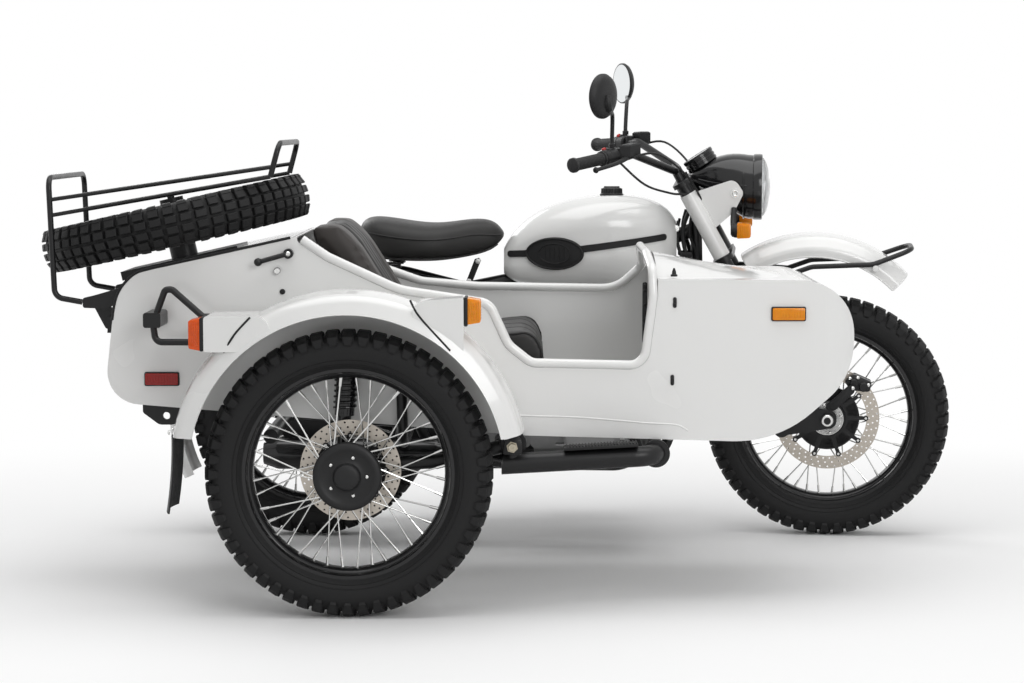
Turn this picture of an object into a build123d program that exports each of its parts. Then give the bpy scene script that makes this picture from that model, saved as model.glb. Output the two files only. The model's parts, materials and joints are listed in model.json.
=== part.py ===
"""Motorcycle with a sidecar on its right: boxer twin, leading-link fork, three wire wheels, spare on the boot.

Millimetres. +X forward, +Y left, +Z up. Sizes are measured from the point on the ground under the rear axle;
place() then moves every piece so that the origin is the middle of the whole footprint, on the ground.
"""
from build123d import *
from math import cos, degrees, pi, radians, sin
import os

# Whole vehicle
WHEELBASE = 1470.0
TRACK = 1140.0              # bike's centre plane to sidecar wheel's centre plane
WHEEL_LEAD = 187.0          # sidecar wheel ahead of the rear wheel
ORIGIN_X = 597.8            # middle of the footprint, from the rear axle
ORIGIN_Y = -384.2
FIT = 0.3                   # clearance of a seated piece
RUN_FIT = 0.05              # radial clearance of a turning shaft
MOVE_GAP = 5.0              # clearance of a moving piece

# Wheels
TYRE_R = 345.0
TYRE_HALF = 54.0
TYRE_SHOULDER = 49.0        # half width of the tread
LUG_DEPTH = 13.0
LUG_PITCHES = 30
LUG_HALF = 19.0
LUG_GAP = 2.0               # lug rows off the centre plane
SHOULDER_DROP = 9.0
RIM_R = 251.0
RIM_HALF = 33.0
RIM_WELL = 12.0
RIM_INNER_R = 229.0
SPOKES = 40
SPOKE_T = 3.6
SPOKE_LEAN = 52.0
SPOKE_SEAT = 1.2
HUB_R = 32.0
HUB_END_R = 26.0
FLANGE_R = 47.0
FLANGE_Y = 27.0
AXLE_R = 10.0
AXLE_Z = 345.10             # lug corners reach the ground
DISC_T = 5.0
FRONT_DISC_R = 147.5
SIDE_DISC_R = 122.0
SIDE_HUB_OUT = 62.0
SIDE_HUB_IN = 56.0
FORK_HUB = 66.0             # half length of the front hub
REAR_HUB_LEFT = 60.0
REAR_HUB_RIGHT = 48.0

# Sidecar tub
TUB_RIGHT = -1012.0
TUB_LEFT = -436.0
SHEET = 3.0
RIM_TUBE_R = 11.0

# Steering
RAKE = 29.0
HEAD_X = WHEELBASE - 410    # steering axis at the top clamp
HEAD_Z = 1008.0
STEER_REST = 7.0            # parked with the front wheel turned this far towards the sidecar
LEG_HALF = 105.0            # fork leg off the centre plane
LEG_R = 19.0
COVER_R = 24.0
COVER_TOP = -26.0           # along the steering axis, from the top clamp
COVER_LOW = -226.0
STEM_R = 17.0
HEAD_TUBE_R = 30.0
LINK_X = WHEELBASE - 128    # leading-link pivot
LINK_Z = 322.0
LINK_IN = FORK_HUB + 2
LINK_OUT = FORK_HUB + 16
SHOCK_EYE = 13.0
SHOCK_EYE_HALF = 11.0
SHOCK_Y = LINK_OUT + FIT + SHOCK_EYE_HALF
SHOCK_TOP_X = WHEELBASE - 172
SHOCK_TOP_Z = 734.0
SHOCK_FOOT_X = WHEELBASE - 38
SHOCK_FOOT_Z = AXLE_Z + 66
LAMP_X = HEAD_X + 194       # headlamp rim's back
LAMP_Z = 997.0
LAMP_R = 92.0
EAR_T = 4.0
DIAL_X = HEAD_X + 33
DIAL_Z = 1087.0
DIAL_R = 46.0
DIAL_TILT = 33.0
DIAL_DEEP = 34.0
BAR_R = 11.0
BAR_END = (HEAD_X - 283, 410.0, 1087.0)
BAR_BEND = (HEAD_X - 146, 222.0, 1108.0)
BAR_FOOT = (HEAD_X - 26, 70.0, 1046.0)
MIRROR_R = 60.0
MIRROR_BACK = -46.0         # mirror head from the foot of its stem
MIRROR_OUT = 120.0
MIRROR_UP = 150.0
MIRROR_TURN = 30.0
FENDER_R = 364.0            # front mudguard's crown
FENDER_HALF = 76.0
FENDER_X = WHEELBASE - 44
FENDER_Z = 501.0
FENDER_START = 44.0         # angle of its front edge above the horizontal
FENDER_SPAN = 80.0
FENDER_DEEP = 58.0
GUARD_R = 7.0
GUARD_CLIP_X = FENDER_X + 171
GUARD_CLIP_Z = 779.0
GUARD_Y = FENDER_HALF + 10
GUARD_ROWS = ((FENDER_X - 72, GUARD_Y, 757.0, 0), (FENDER_X - 6, GUARD_Y, 781.0, 60),
              (FENDER_X + 164, GUARD_Y, 789.0, 80), (FENDER_X + 272, 70.0, 830.0, 44))    # x, y, z, bend radius

# Bike frame, engine and tank
CRADLE_HALF = 148.0
RAIL_HALF = 112.0
RAIL_Z = 760.0
PIVOT_X = 386.0             # swinging arm's pivot
PIVOT_Z = 330.0
REAR_SHOCK_Y = 146.0
SHOCK_LOW_Z = AXLE_Z + 50
CRANK_X = 800.0
CRANK_Z = 345.0
MUFFLER_Y = 214.0
MUFFLER_Z = 262.0
MUFFLER_FRONT = 420.0
MUFFLER_BACK = -120.0
TANK_ROWS = ((546.0, 52.0, 752.0, 822.0, 30.0), (600.0, 96.0, 722.0, 894.0, 60.0), (720.0, 140.0, 718.0, 956.0, 84.0),
             (880.0, 148.0, 718.0, 973.0, 92.0), (990.0, 98.0, 728.0, 948.0, 80.0),
             (1034.0, 50.0, 780.0, 900.0, 44.0))    # x, half width, bottom, top, corner radius

# Sidecar outlines, all (x, z, corner radius) but the plan
BULKHEAD_X = 66.0
HOOP_X = 918.0
CREASE_Z = 796.0
TUB_SIDE = ((BULKHEAD_X, 905.0, 0), (-384.0, 806.0, 110.0), (-420.0, 500.0, 80.0), (600.0, 418.0, 0),
            (1222.0, 401.0, 280.0), (1412.0, 568.0, 180.0), (1412.0, CREASE_Z, 138.0), (HOOP_X, 800.0, 0))
TUB_PLAN = ((-430.0, TUB_RIGHT, 30.0), (1424.0, TUB_RIGHT, 90.0), (1424.0, TUB_LEFT, 150.0), (-430.0, TUB_LEFT, 30.0))
CROWN_ROWS = ((880.0, 66.0), (1060.0, 30.0), (1250.0, 2.0))    # x, rise of the cowl over its crease
NEAR_RIM = ((BULKHEAD_X, 896.0, 0), (128.0, 854.0, 60.0), (300.0, 774.0, 200.0), (520.0, 741.0, 40.0),
            (566.0, 640.0, 60.0), (622.0, 596.0, 40.0), (896.0, 590.0, 40.0), (HOOP_X, 760.0, 60.0))
FAR_RIM = ((BULKHEAD_X, 896.0, 0), (230.0, 792.0, 60.0), (330.0, 757.0, 100.0), (480.0, 744.0, 100.0),
           (850.0, 738.0, 100.0), (HOOP_X, 800.0, 30.0))
LID_ROOM = ((44.0, 1000.0, 0), (44.0, 880.0, 0), (-352.0, 786.0, 90.0), (-384.0, 690.0, 0), (-500.0, 690.0, 0),
            (-500.0, 1000.0, 0))
PAN_ROWS = ((620.0, 400.0, 0), (620.0, 548.0, 10.0), (226.0, 528.0, 30.0), (70.0, 905.0, 0))
HOOP_ROWS = ((HOOP_X - 2, TUB_RIGHT + 14, 822.0, 30), (HOOP_X - 12, -900.0, 858.0, 120), (HOOP_X - 12, -548.0, 858.0, 120))
LID_SLOPE = 12.8
SPARE_X = -279.0
SPARE_Y = -724.0
SPARE_Z = 924.0
RACK_R = 7.0
RACK_ROD_R = 5.0
SLAT_R = 4.0
RACK_NEAR = -965.0
RACK_FAR = -500.0
RACK_PIPES = (
    ((-478, RACK_NEAR, 740, 0), (-545, RACK_NEAR, 752, 25), (-556, RACK_NEAR, 1044, 30), (-556, RACK_FAR, 1044, 30),
     (-545, RACK_FAR, 752, 25), (-478, RACK_FAR, 740, 0)),
    ((-14, RACK_NEAR, 1046, 0), (8, RACK_NEAR, 1128, 30), (8, RACK_FAR, 1128, 30), (-14, RACK_FAR, 1046, 0)))
RACK_RAILS = (((-553, 990), (-3, 1071)), ((-551, 952), (-14, 1046)))
SLATS = 8
HINGE_X = -440.0
HINGE_Z = 738.0
HINGE_ARMS = (RACK_NEAR, RACK_FAR)
HINGE_PIN_R = 5.0

# Sidecar frame, wheel arm and mudguard
ARM_Y = 91.0 - TRACK         # wheel arm, inboard of the wheel
ARM_R = 17.0
STEP_Y = ARM_Y - 23
STEP_R = 25.0
CROSS_X = 925.0
CROSS_Z = 377.0
RAIL_IN_Y = -470.0
TUBE_R = 18.0
ARM_PIVOT = (576.0, 402.0)
SIDE_SHOCK_Y = ARM_Y - 5
SHOCK_POST_Y = ARM_Y + 18
GUARD_Z = AXLE_Z + 12
GUARD_CROWN = 427.0
GUARD_START = 12.0
GUARD_SPAN = 160.0
GUARD_SECTION = ((TUB_RIGHT - 1.2, 404.0, 0), (90.0 - TRACK, 420.0, 40.0), (-TRACK, GUARD_CROWN, 200.0),
                 (-TRACK - 72, 416.0, 34.0), (-TRACK - 92, 372.0, 0))    # y, radius, corner radius
GUARD_LOW = 437.0            # rear end of the mudguard
FLAP_HALF = 76.0
FLAP_T = 4.0
REAR_LAMP_X = WHEEL_LEAD - 333
FRONT_LAMP_X = WHEEL_LEAD + 276
POD_ROWS = (
    (((REAR_LAMP_X, 642.0, 4), (REAR_LAMP_X + 146, 642.0, 0), (REAR_LAMP_X + 166, 728.0, 40),
      (REAR_LAMP_X, 726.0, 8)), 54.0 - TRACK, -89.0 - TRACK),
    (((FRONT_LAMP_X - 127, 640.0, 0), (FRONT_LAMP_X, 640.0, 0), (FRONT_LAMP_X, 770.0, 6),
      (FRONT_LAMP_X - 118, 760.0, 30)), -4.0 - TRACK, -82.0 - TRACK))
TOW_X = -272.0
TOW_Y = -980.0
TOW_Z = 462.0
TOW_R = 9.0
TOW_T = 10.0

PIECES = {}


def place(name, *shapes):
    """Keep the solids of one node, moved to the middle of the footprint."""
    solids = []
    for shape in shapes:
        solids.extend(shape.solids())
    PIECES[name] = [Pos(-ORIGIN_X, -ORIGIN_Y, 0) * solid for solid in solids]


def outline(rows):
    """Face from rows of (u, v, corner radius)."""
    return make_face(FilletPolyline(*[row[:2] for row in rows], radius=[row[2] for row in rows], close=True))


def across(face, y_one, y_other):
    """Stand an XZ face up between two Y stations."""
    y_left, y_right = max(y_one, y_other), min(y_one, y_other)
    return extrude(Plane.XZ.offset(-y_left) * face, y_left - y_right)


def turned(rows):
    """Spin a (y, r, corner radius) outline about the Y axis."""
    return revolve(Plane.YZ * outline(rows), Axis.Y)


def rod(start, end, radius):
    """Round bar between two points."""
    start, end = Vector(*start), Vector(*end)
    return extrude(Plane(origin=start, z_dir=end - start) * Circle(radius), (end - start).length)


def pipe(rows, radius):
    """Bent round bar through rows of (x, y, z, bend radius); the end rows have no bend."""
    path = FilletPolyline(*[row[:3] for row in rows], radius=[row[3] for row in rows[1:-1]])
    return sweep(Plane(origin=path @ 0, z_dir=path % 0) * Circle(radius), path=path)


def pin_y(x, z, radius, y_one, y_other):
    """Round bar along Y."""
    return rod((x, min(y_one, y_other), z), (x, max(y_one, y_other), z), radius)


def joined(shapes):
    """Fuse a list of shapes."""
    whole = shapes[0]
    for shape in shapes[1:]:
        whole = whole + shape
    return whole


STEM = Plane(origin=(HEAD_X, 0, HEAD_Z), x_dir=(cos(radians(RAKE)), 0, sin(radians(RAKE))),
             z_dir=(-sin(radians(RAKE)), 0, cos(radians(RAKE))))
STEER_AXIS = Axis((HEAD_X, 0, HEAD_Z), (-sin(radians(RAKE)), 0, cos(radians(RAKE))))


def steered(shape):
    """Turn a piece of the steering to where it is parked."""
    return shape.rotate(STEER_AXIS, -STEER_REST)


def on_stem(forward, up):
    """XZ point from distances ahead of and along the steering axis, from the top clamp."""
    x = HEAD_X + forward * cos(radians(RAKE)) - up * sin(radians(RAKE))
    return x, HEAD_Z + forward * sin(radians(RAKE)) + up * cos(radians(RAKE))


# Tyres: a carcass with two staggered rows of square lugs, the same for all wheels
def tyre():
    lug_low = TYRE_R - LUG_DEPTH
    carcass = turned([(0, lug_low, 0), (TYRE_SHOULDER, lug_low - SHOULDER_DROP, 0), (TYRE_HALF, 298, 0), (46, 268, 0),
                      (RIM_HALF, RIM_R + FIT, 0), (-RIM_HALF, RIM_R + FIT, 0), (-46, 268, 0), (-TYRE_HALF, 298, 0),
                      (-TYRE_SHOULDER, lug_low - SHOULDER_DROP, 0)])
    lug_side = outline([(LUG_GAP, lug_low - 4, 0), (LUG_GAP, TYRE_R, 0), (TYRE_SHOULDER, TYRE_R - SHOULDER_DROP, 0),
                        (TYRE_HALF, TYRE_R - 36, 0), (TYRE_SHOULDER - 4, lug_low - SHOULDER_DROP - 4, 0)])
    lug = extrude(Plane.YZ * lug_side, LUG_HALF, both=True)
    lugs = []
    for k in range(LUG_PITCHES):
        angle = 360 * k / LUG_PITCHES
        lugs.append(Rot(0, angle, 0) * lug)
        lugs.append(Rot(0, angle + 180 / LUG_PITCHES, 0) * Rot(0, 0, 180) * lug)
    return carcass + lugs


# Wire wheels: rim, flanged hub and crossed spokes that seat in both
def wire_wheel(hub_left, hub_right):
    rim = turned([(RIM_HALF, RIM_R, 0), (-RIM_HALF, RIM_R, 0), (-RIM_HALF, RIM_R - 8, 0),
                  (-RIM_WELL, RIM_INNER_R, 0), (RIM_WELL, RIM_INNER_R, 0), (RIM_HALF, RIM_R - 8, 0)])
    bore_r = AXLE_R + RUN_FIT
    hub = turned([(hub_left, bore_r, 0), (hub_left, HUB_END_R, 0), (FLANGE_Y + 4, HUB_END_R, 0),
                  (FLANGE_Y + 4, FLANGE_R, 0), (FLANGE_Y - 4, FLANGE_R, 0), (FLANGE_Y - 4, HUB_R, 0),
                  (4 - FLANGE_Y, HUB_R, 0), (4 - FLANGE_Y, FLANGE_R, 0), (-4 - FLANGE_Y, FLANGE_R, 0),
                  (-4 - FLANGE_Y, HUB_END_R, 0), (hub_right, HUB_END_R, 0), (hub_right, bore_r, 0)])
    spokes = []
    for k in range(SPOKES):
        rim_angle = 2 * pi * (k + 0.5) / SPOKES
        side = 1 if k % 2 == 0 else -1
        lean = radians(SPOKE_LEAN) * (1 if (k // 2) % 2 == 0 else -1)
        hub_angle = rim_angle + lean
        start = Vector(FLANGE_R * sin(hub_angle), side * FLANGE_Y, FLANGE_R * cos(hub_angle))
        end = Vector(RIM_INNER_R * sin(rim_angle), side * 7, RIM_INNER_R * cos(rim_angle))
        run = (end - start).normalized()
        start, end = start + run * SPOKE_SEAT, end - run * FIT
        section = Plane(origin=start, z_dir=run) * Rectangle(SPOKE_T, SPOKE_T)
        spokes.append(extrude(section, (end - start).length))
    return [rim, hub] + spokes


def at_wheel(shapes, x, y):
    """Put the pieces of a wheel on its axle."""
    return [Pos(x, y, AXLE_Z) * shape for shape in shapes]


# Brake discs: a ring on a carrier of arms, bolted to the hub
def brake_disc(radius, y, arms):
    ring = across(Circle(radius) - Circle(radius - 42), y + DISC_T / 2, y - DISC_T / 2)
    carrier = Circle(54)
    for k in range(arms):
        carrier = carrier + Rot(0, 0, 360 * k / arms) * Pos(radius / 2, 0) * Rectangle(radius - 78, 11)
    carrier = carrier - Circle(HUB_END_R + FIT)
    return ring + across(carrier, y + DISC_T / 2, y - DISC_T / 2)


TYRE = tyre()
front_axle = (WHEELBASE, 0)
rear_axle = (0, 0)
side_axle = (WHEEL_LEAD, -TRACK)

place("rear_tyre", *at_wheel([TYRE], *rear_axle))
place("rear_rim", *at_wheel(wire_wheel(REAR_HUB_LEFT, -REAR_HUB_RIGHT), *rear_axle))
place("sidecar_tyre", *at_wheel([TYRE], *side_axle))
place("sidecar_rim", *at_wheel(wire_wheel(SIDE_HUB_IN, -SIDE_HUB_OUT), *side_axle))
side_disc_y = SIDE_HUB_IN - 12
place("sidecar_disc", *at_wheel([brake_disc(SIDE_DISC_R, side_disc_y, 8)], *side_axle))
cap_y = -SIDE_HUB_OUT
hub_cap = turned([(cap_y, 0, 0), (cap_y, 82, 0), (cap_y - 6, 82, 4), (cap_y - 14, 70, 6), (cap_y - 14, 36, 0),
                  (cap_y - 26, 32, 6), (cap_y - 28, 0, 0)])
place("sidecar_hub_cap", *at_wheel([hub_cap], *side_axle))

straight_front = [steered(shape) for shape in at_wheel(wire_wheel(FORK_HUB, -FORK_HUB), *front_axle)]
place("front_tyre", *[steered(shape) for shape in at_wheel([TYRE], *front_axle)])
place("front_rim", *straight_front)
front_disc_y = -(FLANGE_Y + 4 + DISC_T / 2 + 12)
place("front_disc", *[steered(shape) for shape in at_wheel([brake_disc(FRONT_DISC_R, front_disc_y, 10)], *front_axle)])

# Leading-link fork: bent legs, clamps and stem, with links and shocks to the axle
leg_room = {}
leg_top_x, leg_top_z = on_stem(0, 8)
leg_bend_x, leg_bend_z = on_stem(0, COVER_LOW - 75)
legs = []
for side in (1, -1):
    y = side * LEG_HALF
    legs.append(pipe([(leg_top_x, y, leg_top_z, 0), (leg_bend_x, y, leg_bend_z, 180),
                      (LINK_X - 22, y, 500, 300), (LINK_X, y, LINK_Z + 14, 0)], LEG_R))
    legs.append(pin_y(LINK_X, LINK_Z, 22, y + side * LEG_R, side * (LINK_OUT + FIT)))
    ear = rod((leg_bend_x, y, SHOCK_TOP_Z), (SHOCK_TOP_X, SHOCK_Y * side, SHOCK_TOP_Z), 10)
    legs.append(ear - pin_y(SHOCK_TOP_X, SHOCK_TOP_Z, SHOCK_EYE + FIT, 200, -200))
    leg_room[side] = pipe([(leg_top_x, y, leg_top_z, 0), (leg_bend_x, y, leg_bend_z, 180),
                           (LINK_X - 22, y, 500, 300), (LINK_X, y, LINK_Z + 14, 0)], LEG_R + FIT)
clamp_top = STEM * extrude(SlotCenterToCenter(2 * LEG_HALF, 56, rotation=90), 12)
clamp_low = STEM * Pos(0, 0, COVER_LOW - 16) * extrude(SlotCenterToCenter(2 * LEG_HALF, 60, rotation=90), 14)
stem = STEM * Pos(0, 0, COVER_LOW - 16) * extrude(Circle(STEM_R), 16 - COVER_LOW)
stem_nut = STEM * Pos(0, 0, 12) * extrude(RegularPolygon(19, 6), 14)
fork = clamp_top + clamp_low + stem + stem_nut + legs
place("fork", steered(fork))

covers = []
for side in (1, -1):
    tube_up = COVER_TOP - COVER_LOW
    sleeve = extrude(Circle(COVER_R) - Circle(LEG_R + FIT), tube_up)
    cover = STEM * Pos(0, side * LEG_HALF, COVER_LOW) * sleeve
    ear_rows = [(*on_stem(10, -30), 0), (*on_stem(10, -150), 0), (LAMP_X - 52, LAMP_Z - 62, 30),
                (LAMP_X - 25, LAMP_Z - 8, 20), (LAMP_X - 52, LAMP_Z + 30, 24)]
    ear_y = side * (LAMP_R + EAR_T + 1)
    ear = across(outline(ear_rows), ear_y, ear_y - side * EAR_T)
    leg_hole = STEM * Pos(0, side * LEG_HALF, COVER_LOW - 2) * extrude(Circle(LEG_R + FIT), -COVER_LOW)
    covers.append(cover + ear - leg_hole)
place("fork_covers", *[steered(shape) for shape in covers])

links = []
for side in (1, -1):
    arm = outline([(LINK_X - 24, LINK_Z - 22, 20), (LINK_X + 10, LINK_Z - 24, 10), (WHEELBASE + 26, AXLE_Z - 22, 22),
                   (WHEELBASE + 26, AXLE_Z + 24, 22), (WHEELBASE - 60, AXLE_Z + 40, 10), (LINK_X - 24, LINK_Z + 22, 20)])
    link = across(arm, side * LINK_IN, side * LINK_OUT)
    lug = outline([(SHOCK_FOOT_X - 16, AXLE_Z + 20, 0), (SHOCK_FOOT_X + 16, AXLE_Z + 20, 0),
                   (SHOCK_FOOT_X + 14, SHOCK_FOOT_Z + 14, 12), (SHOCK_FOOT_X - 14, SHOCK_FOOT_Z + 14, 12)])
    links.append(link + across(lug, side * LINK_IN, side * LINK_OUT))
axle = pin_y(WHEELBASE, AXLE_Z, AXLE_R, LINK_OUT + 22, -LINK_OUT - 22)
for side in (1, -1):
    axle = axle + pin_y(WHEELBASE, AXLE_Z, 17, side * LINK_OUT, side * (LINK_OUT + 12))
place("front_links", steered(links[0] + links[1] + axle))

shocks = []
for side in (1, -1):
    top = Vector(SHOCK_TOP_X, side * SHOCK_Y, SHOCK_TOP_Z)
    foot = Vector(SHOCK_FOOT_X, side * SHOCK_Y, SHOCK_FOOT_Z)
    run = (foot - top).normalized()
    shock = rod(top, foot, 9) + rod(top + run * 24, top + run * 180, 23) + rod(top + run * 180, foot - run * 26, 16)
    for eye in (top, foot):
        shock = shock + pin_y(eye.X, eye.Z, SHOCK_EYE, eye.Y + SHOCK_EYE_HALF, eye.Y - SHOCK_EYE_HALF)
    shocks.append(shock)
place("front_shocks", *[steered(shape) for shape in shocks])

caliper_angle = radians(52)
caliper_x = WHEELBASE + (FRONT_DISC_R - 18) * cos(caliper_angle)
caliper_z = AXLE_Z + (FRONT_DISC_R - 18) * sin(caliper_angle)
caliper = Pos(caliper_x, front_disc_y, caliper_z) * Rot(0, 90 - degrees(caliper_angle), 0) * Box(78, 58, 56)
slot = across(Pos(WHEELBASE, AXLE_Z) * Circle(FRONT_DISC_R + 5), front_disc_y + 6, front_disc_y - 6)
tyre_room = across(Pos(WHEELBASE, AXLE_Z) * Circle(400), front_disc_y + 60, front_disc_y + 17)
bracket = across(outline([(WHEELBASE - 16, AXLE_Z + 34, 8), (WHEELBASE + 26, AXLE_Z - 8, 8), (WHEELBASE + 100, 424, 8),
                         (WHEELBASE + 54, 466, 8)]), -LINK_OUT - FIT, -LINK_OUT - 7)
bracket = bracket + pin_y(caliper_x, caliper_z, 18, front_disc_y - 20, -LINK_OUT - 7)
bracket = bracket - pin_y(WHEELBASE, AXLE_Z, 17 + FIT, 0, -LINK_OUT - 20)
place("front_caliper", steered(caliper - slot - tyre_room + bracket))

# Headlamp, instrument and handlebar
shell = Pos(LAMP_X, 0, LAMP_Z) * revolve(Plane.XY * outline([
    (0, 0, 0), (0, LAMP_R - 4, 0), (-28, LAMP_R - 4, 12), (-88, LAMP_R - 26, 40), (-112, 30, 20), (-112, 0, 0)]), Axis.X)
for side in (1, -1):
    shell = shell + pin_y(LAMP_X - 50, LAMP_Z - 10, 12, side * 60, side * (LAMP_R + 1 - FIT))
rim_ring = Pos(LAMP_X, 0, LAMP_Z) * revolve(Plane.XY * outline([
    (0.2, LAMP_R - 16, 0), (0.2, LAMP_R, 0), (24, LAMP_R, 8), (24, LAMP_R - 8, 0), (6, LAMP_R - 16, 0)]), Axis.X)
lens = Pos(LAMP_X, 0, LAMP_Z) * revolve(Plane.XY * outline([
    (24.5, 0, 0), (24.5, LAMP_R - 8.5, 0), (30, LAMP_R - 12, 0), (44, 40, 60), (46, 0, 0)]), Axis.X)
place("headlamp_lens", steered(lens))
dial_plane = Plane(origin=(DIAL_X, 0, DIAL_Z), x_dir=(cos(radians(DIAL_TILT)), 0, sin(radians(DIAL_TILT))),
                   z_dir=(-sin(radians(DIAL_TILT)), 0, cos(radians(DIAL_TILT))))
dial = dial_plane * Pos(0, 0, -DIAL_DEEP) * extrude(Circle(DIAL_R), DIAL_DEEP)
place("instrument", steered(dial))
dial_room = dial_plane * Pos(0, 0, -DIAL_DEEP - FIT) * extrude(Circle(DIAL_R + FIT), DIAL_DEEP + 60)
cowl_face = outline([(DIAL_X + 10, DIAL_Z - 40, 8), (LAMP_X - 90, LAMP_Z + 30, 0), (LAMP_X - 8, LAMP_Z + 60, 10),
                     (LAMP_X - 8, LAMP_Z + 98, 12), (LAMP_X - 70, LAMP_Z + 106, 20), (DIAL_X + 44, DIAL_Z + 24, 6)])
cowl = across(cowl_face, DIAL_R + 8, -DIAL_R - 8) - dial_room
place("headlamp_shell", steered(shell + cowl), steered(rim_ring))

bar_rows = [(*BAR_END, 0), (*BAR_BEND, 60), (*BAR_FOOT, 45)]
bar_path = [(x, -y, z, r) for x, y, z, r in bar_rows] + [(x, y, z, r) for x, y, z, r in reversed(bar_rows)]
bar = pipe(bar_path, BAR_R)
risers = []
for side in (1, -1):
    risers.append(STEM * Pos(-4, side * 36, 12 + FIT) * extrude(Circle(13), 34))
place("handlebar", steered(bar + risers))

grips, controls, mirrors, glasses = [], [], [], []
for side in (1, -1):
    end = Vector(BAR_END[0], side * BAR_END[1], BAR_END[2])
    bend = Vector(BAR_BEND[0], side * BAR_BEND[1], BAR_BEND[2])
    run = (bend - end).normalized()
    bore = rod(end - run * 5, end + run * 220, BAR_R + FIT)
    grip = rod(end - run * 4, end + run * 122, 17) + rod(end + run * 116, end + run * 122, 21)
    grips.append(grip - rod(end, end + run * 140, BAR_R + FIT))
    block = rod(end + run * 124, end + run * 176, 21) - bore
    post = end + run * 162 + Vector(0, 0, 20)
    lever_pivot = end + run * 170 + Vector(34, 0, -4)
    lever_end = end + run * 2 + Vector(58, -side * 12, -14)
    block = block + rod(lever_pivot + Vector(-32, 0, 2), lever_pivot + Vector(8, 0, 0), 11)
    block = block + rod(lever_pivot, lever_end, 6) + Pos(*lever_end) * Sphere(9)
    controls.append(block - bore)
    elbow = post + Vector(2, side * 18, 92)
    head = post + Vector(MIRROR_BACK, side * MIRROR_OUT, MIRROR_UP)
    stem_rows = [(post.X, post.Y, post.Z + 2, 0), (post.X, post.Y, post.Z + 24, 8),
                 (elbow.X, elbow.Y, elbow.Z, 30), (head.X + 8, head.Y, head.Z, 0)]
    stalk = pipe(stem_rows, 6)
    face_plane = Plane(origin=head, z_dir=(-cos(radians(MIRROR_TURN)), -side * sin(radians(MIRROR_TURN)), 0))
    cup = extrude(face_plane * Circle(MIRROR_R), -10) + extrude(face_plane * Circle(MIRROR_R - 12), -22)
    recess = extrude(face_plane.offset(-3) * Circle(MIRROR_R - 4), 30)
    mirrors.append(cup + stalk - recess)
    glasses.append(extrude(face_plane.offset(-2.7) * Circle(MIRROR_R - 4.3), 2))
place("grips", *[steered(shape) for shape in grips])
place("hand_controls", *[steered(shape) for shape in controls])
place("mirrors", *[steered(shape) for shape in mirrors])
place("mirror_glass", *[steered(shape) for shape in glasses])

flashers, flasher_lenses = [], []
for side in (1, -1):
    y0 = side * (LAMP_R + EAR_T + 1.3)
    stalk = rod((LAMP_X - 52, y0, LAMP_Z - 52), (LAMP_X - 52, y0 + side * 40, LAMP_Z - 100), 8)
    stalk = stalk - Pos(LAMP_X - 52, y0 - side * 5, LAMP_Z - 60) * Box(80, 10, 80)
    flashers.append(stalk + Pos(LAMP_X - 50, y0 + side * 58, LAMP_Z - 108) * Box(18, 44, 40))
    flasher_lenses.append(Pos(LAMP_X - 26, y0 + side * 58, LAMP_Z - 108) * Box(29.4, 42, 38))
place("flashers", *[steered(shape) for shape in flashers])
place("flasher_lenses", *[steered(shape) for shape in flasher_lenses])

# Front mudguard on the fork, with its guard bar
def guard_shell(rows, start, span):
    """Pressed mudguard: rows of (y, r, corner radius) spun about Y, from an angle above +X through a span."""
    path = FilletPolyline(*[row[:2] for row in rows], radius=[row[2] for row in rows[1:-1]])
    return Rot(0, 90 - start - span, 0) * revolve(Plane.YZ * trace(path, SHEET), Axis.Y, revolution_arc=span)


fender_rows = [(-FENDER_HALF, FENDER_R - FENDER_DEEP, 0), (-FENDER_HALF, FENDER_R - 34, 20),
               (-FENDER_HALF + 26, FENDER_R, 30), (FENDER_HALF - 26, FENDER_R, 30), (FENDER_HALF, FENDER_R - 34, 20),
               (FENDER_HALF, FENDER_R - FENDER_DEEP, 0)]
fender = Pos(FENDER_X, 0, FENDER_Z) * guard_shell(fender_rows, FENDER_START, FENDER_SPAN)
place("front_fender", steered(fender))

guard_rows = list(GUARD_ROWS) + [(x, -y, z, r) for x, y, z, r in reversed(GUARD_ROWS)]
guard = pipe(guard_rows, GUARD_R)
for side in (1, -1):
    guard = guard + pin_y(GUARD_CLIP_X, GUARD_CLIP_Z, 6, side * (FENDER_HALF + SHEET / 2 + FIT), side * GUARD_Y)
    guard = guard + rod((GUARD_ROWS[0][0], side * GUARD_Y, GUARD_ROWS[0][2]), (HEAD_X + 154, side * 97, 766), GUARD_R)
    guard = guard - leg_room[side]
place("fender_bar", steered(guard))

# Bike frame: head tube, backbone, twin cradle and seat rails
head_low = COVER_LOW + 4
head_tube = STEM * Pos(0, 0, head_low) * extrude(Circle(HEAD_TUBE_R), -head_low - 4)
backbone_x, backbone_z = on_stem(-HEAD_TUBE_R + 4, -130)
neck_x, neck_z = on_stem(6 - HEAD_TUBE_R, -110)
bend_x, bend_z = on_stem(-98, -250)      # behind the fork's lower clamp at full lock


def cradle(side, radius):
    """Front down tube, lower rail and rear upright of one side of the frame."""
    return pipe([(neck_x, side * 14, neck_z, 0), (bend_x, side * 26, bend_z, 60), (1086, side * 110, 560, 200),
                 (990, side * CRADLE_HALF, 232, 90), (360, side * CRADLE_HALF, 222, 110),
                 (262, side * CRADLE_HALF, 440, 120), (262, side * RAIL_HALF, RAIL_Z - 4, 0)], radius)


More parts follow.
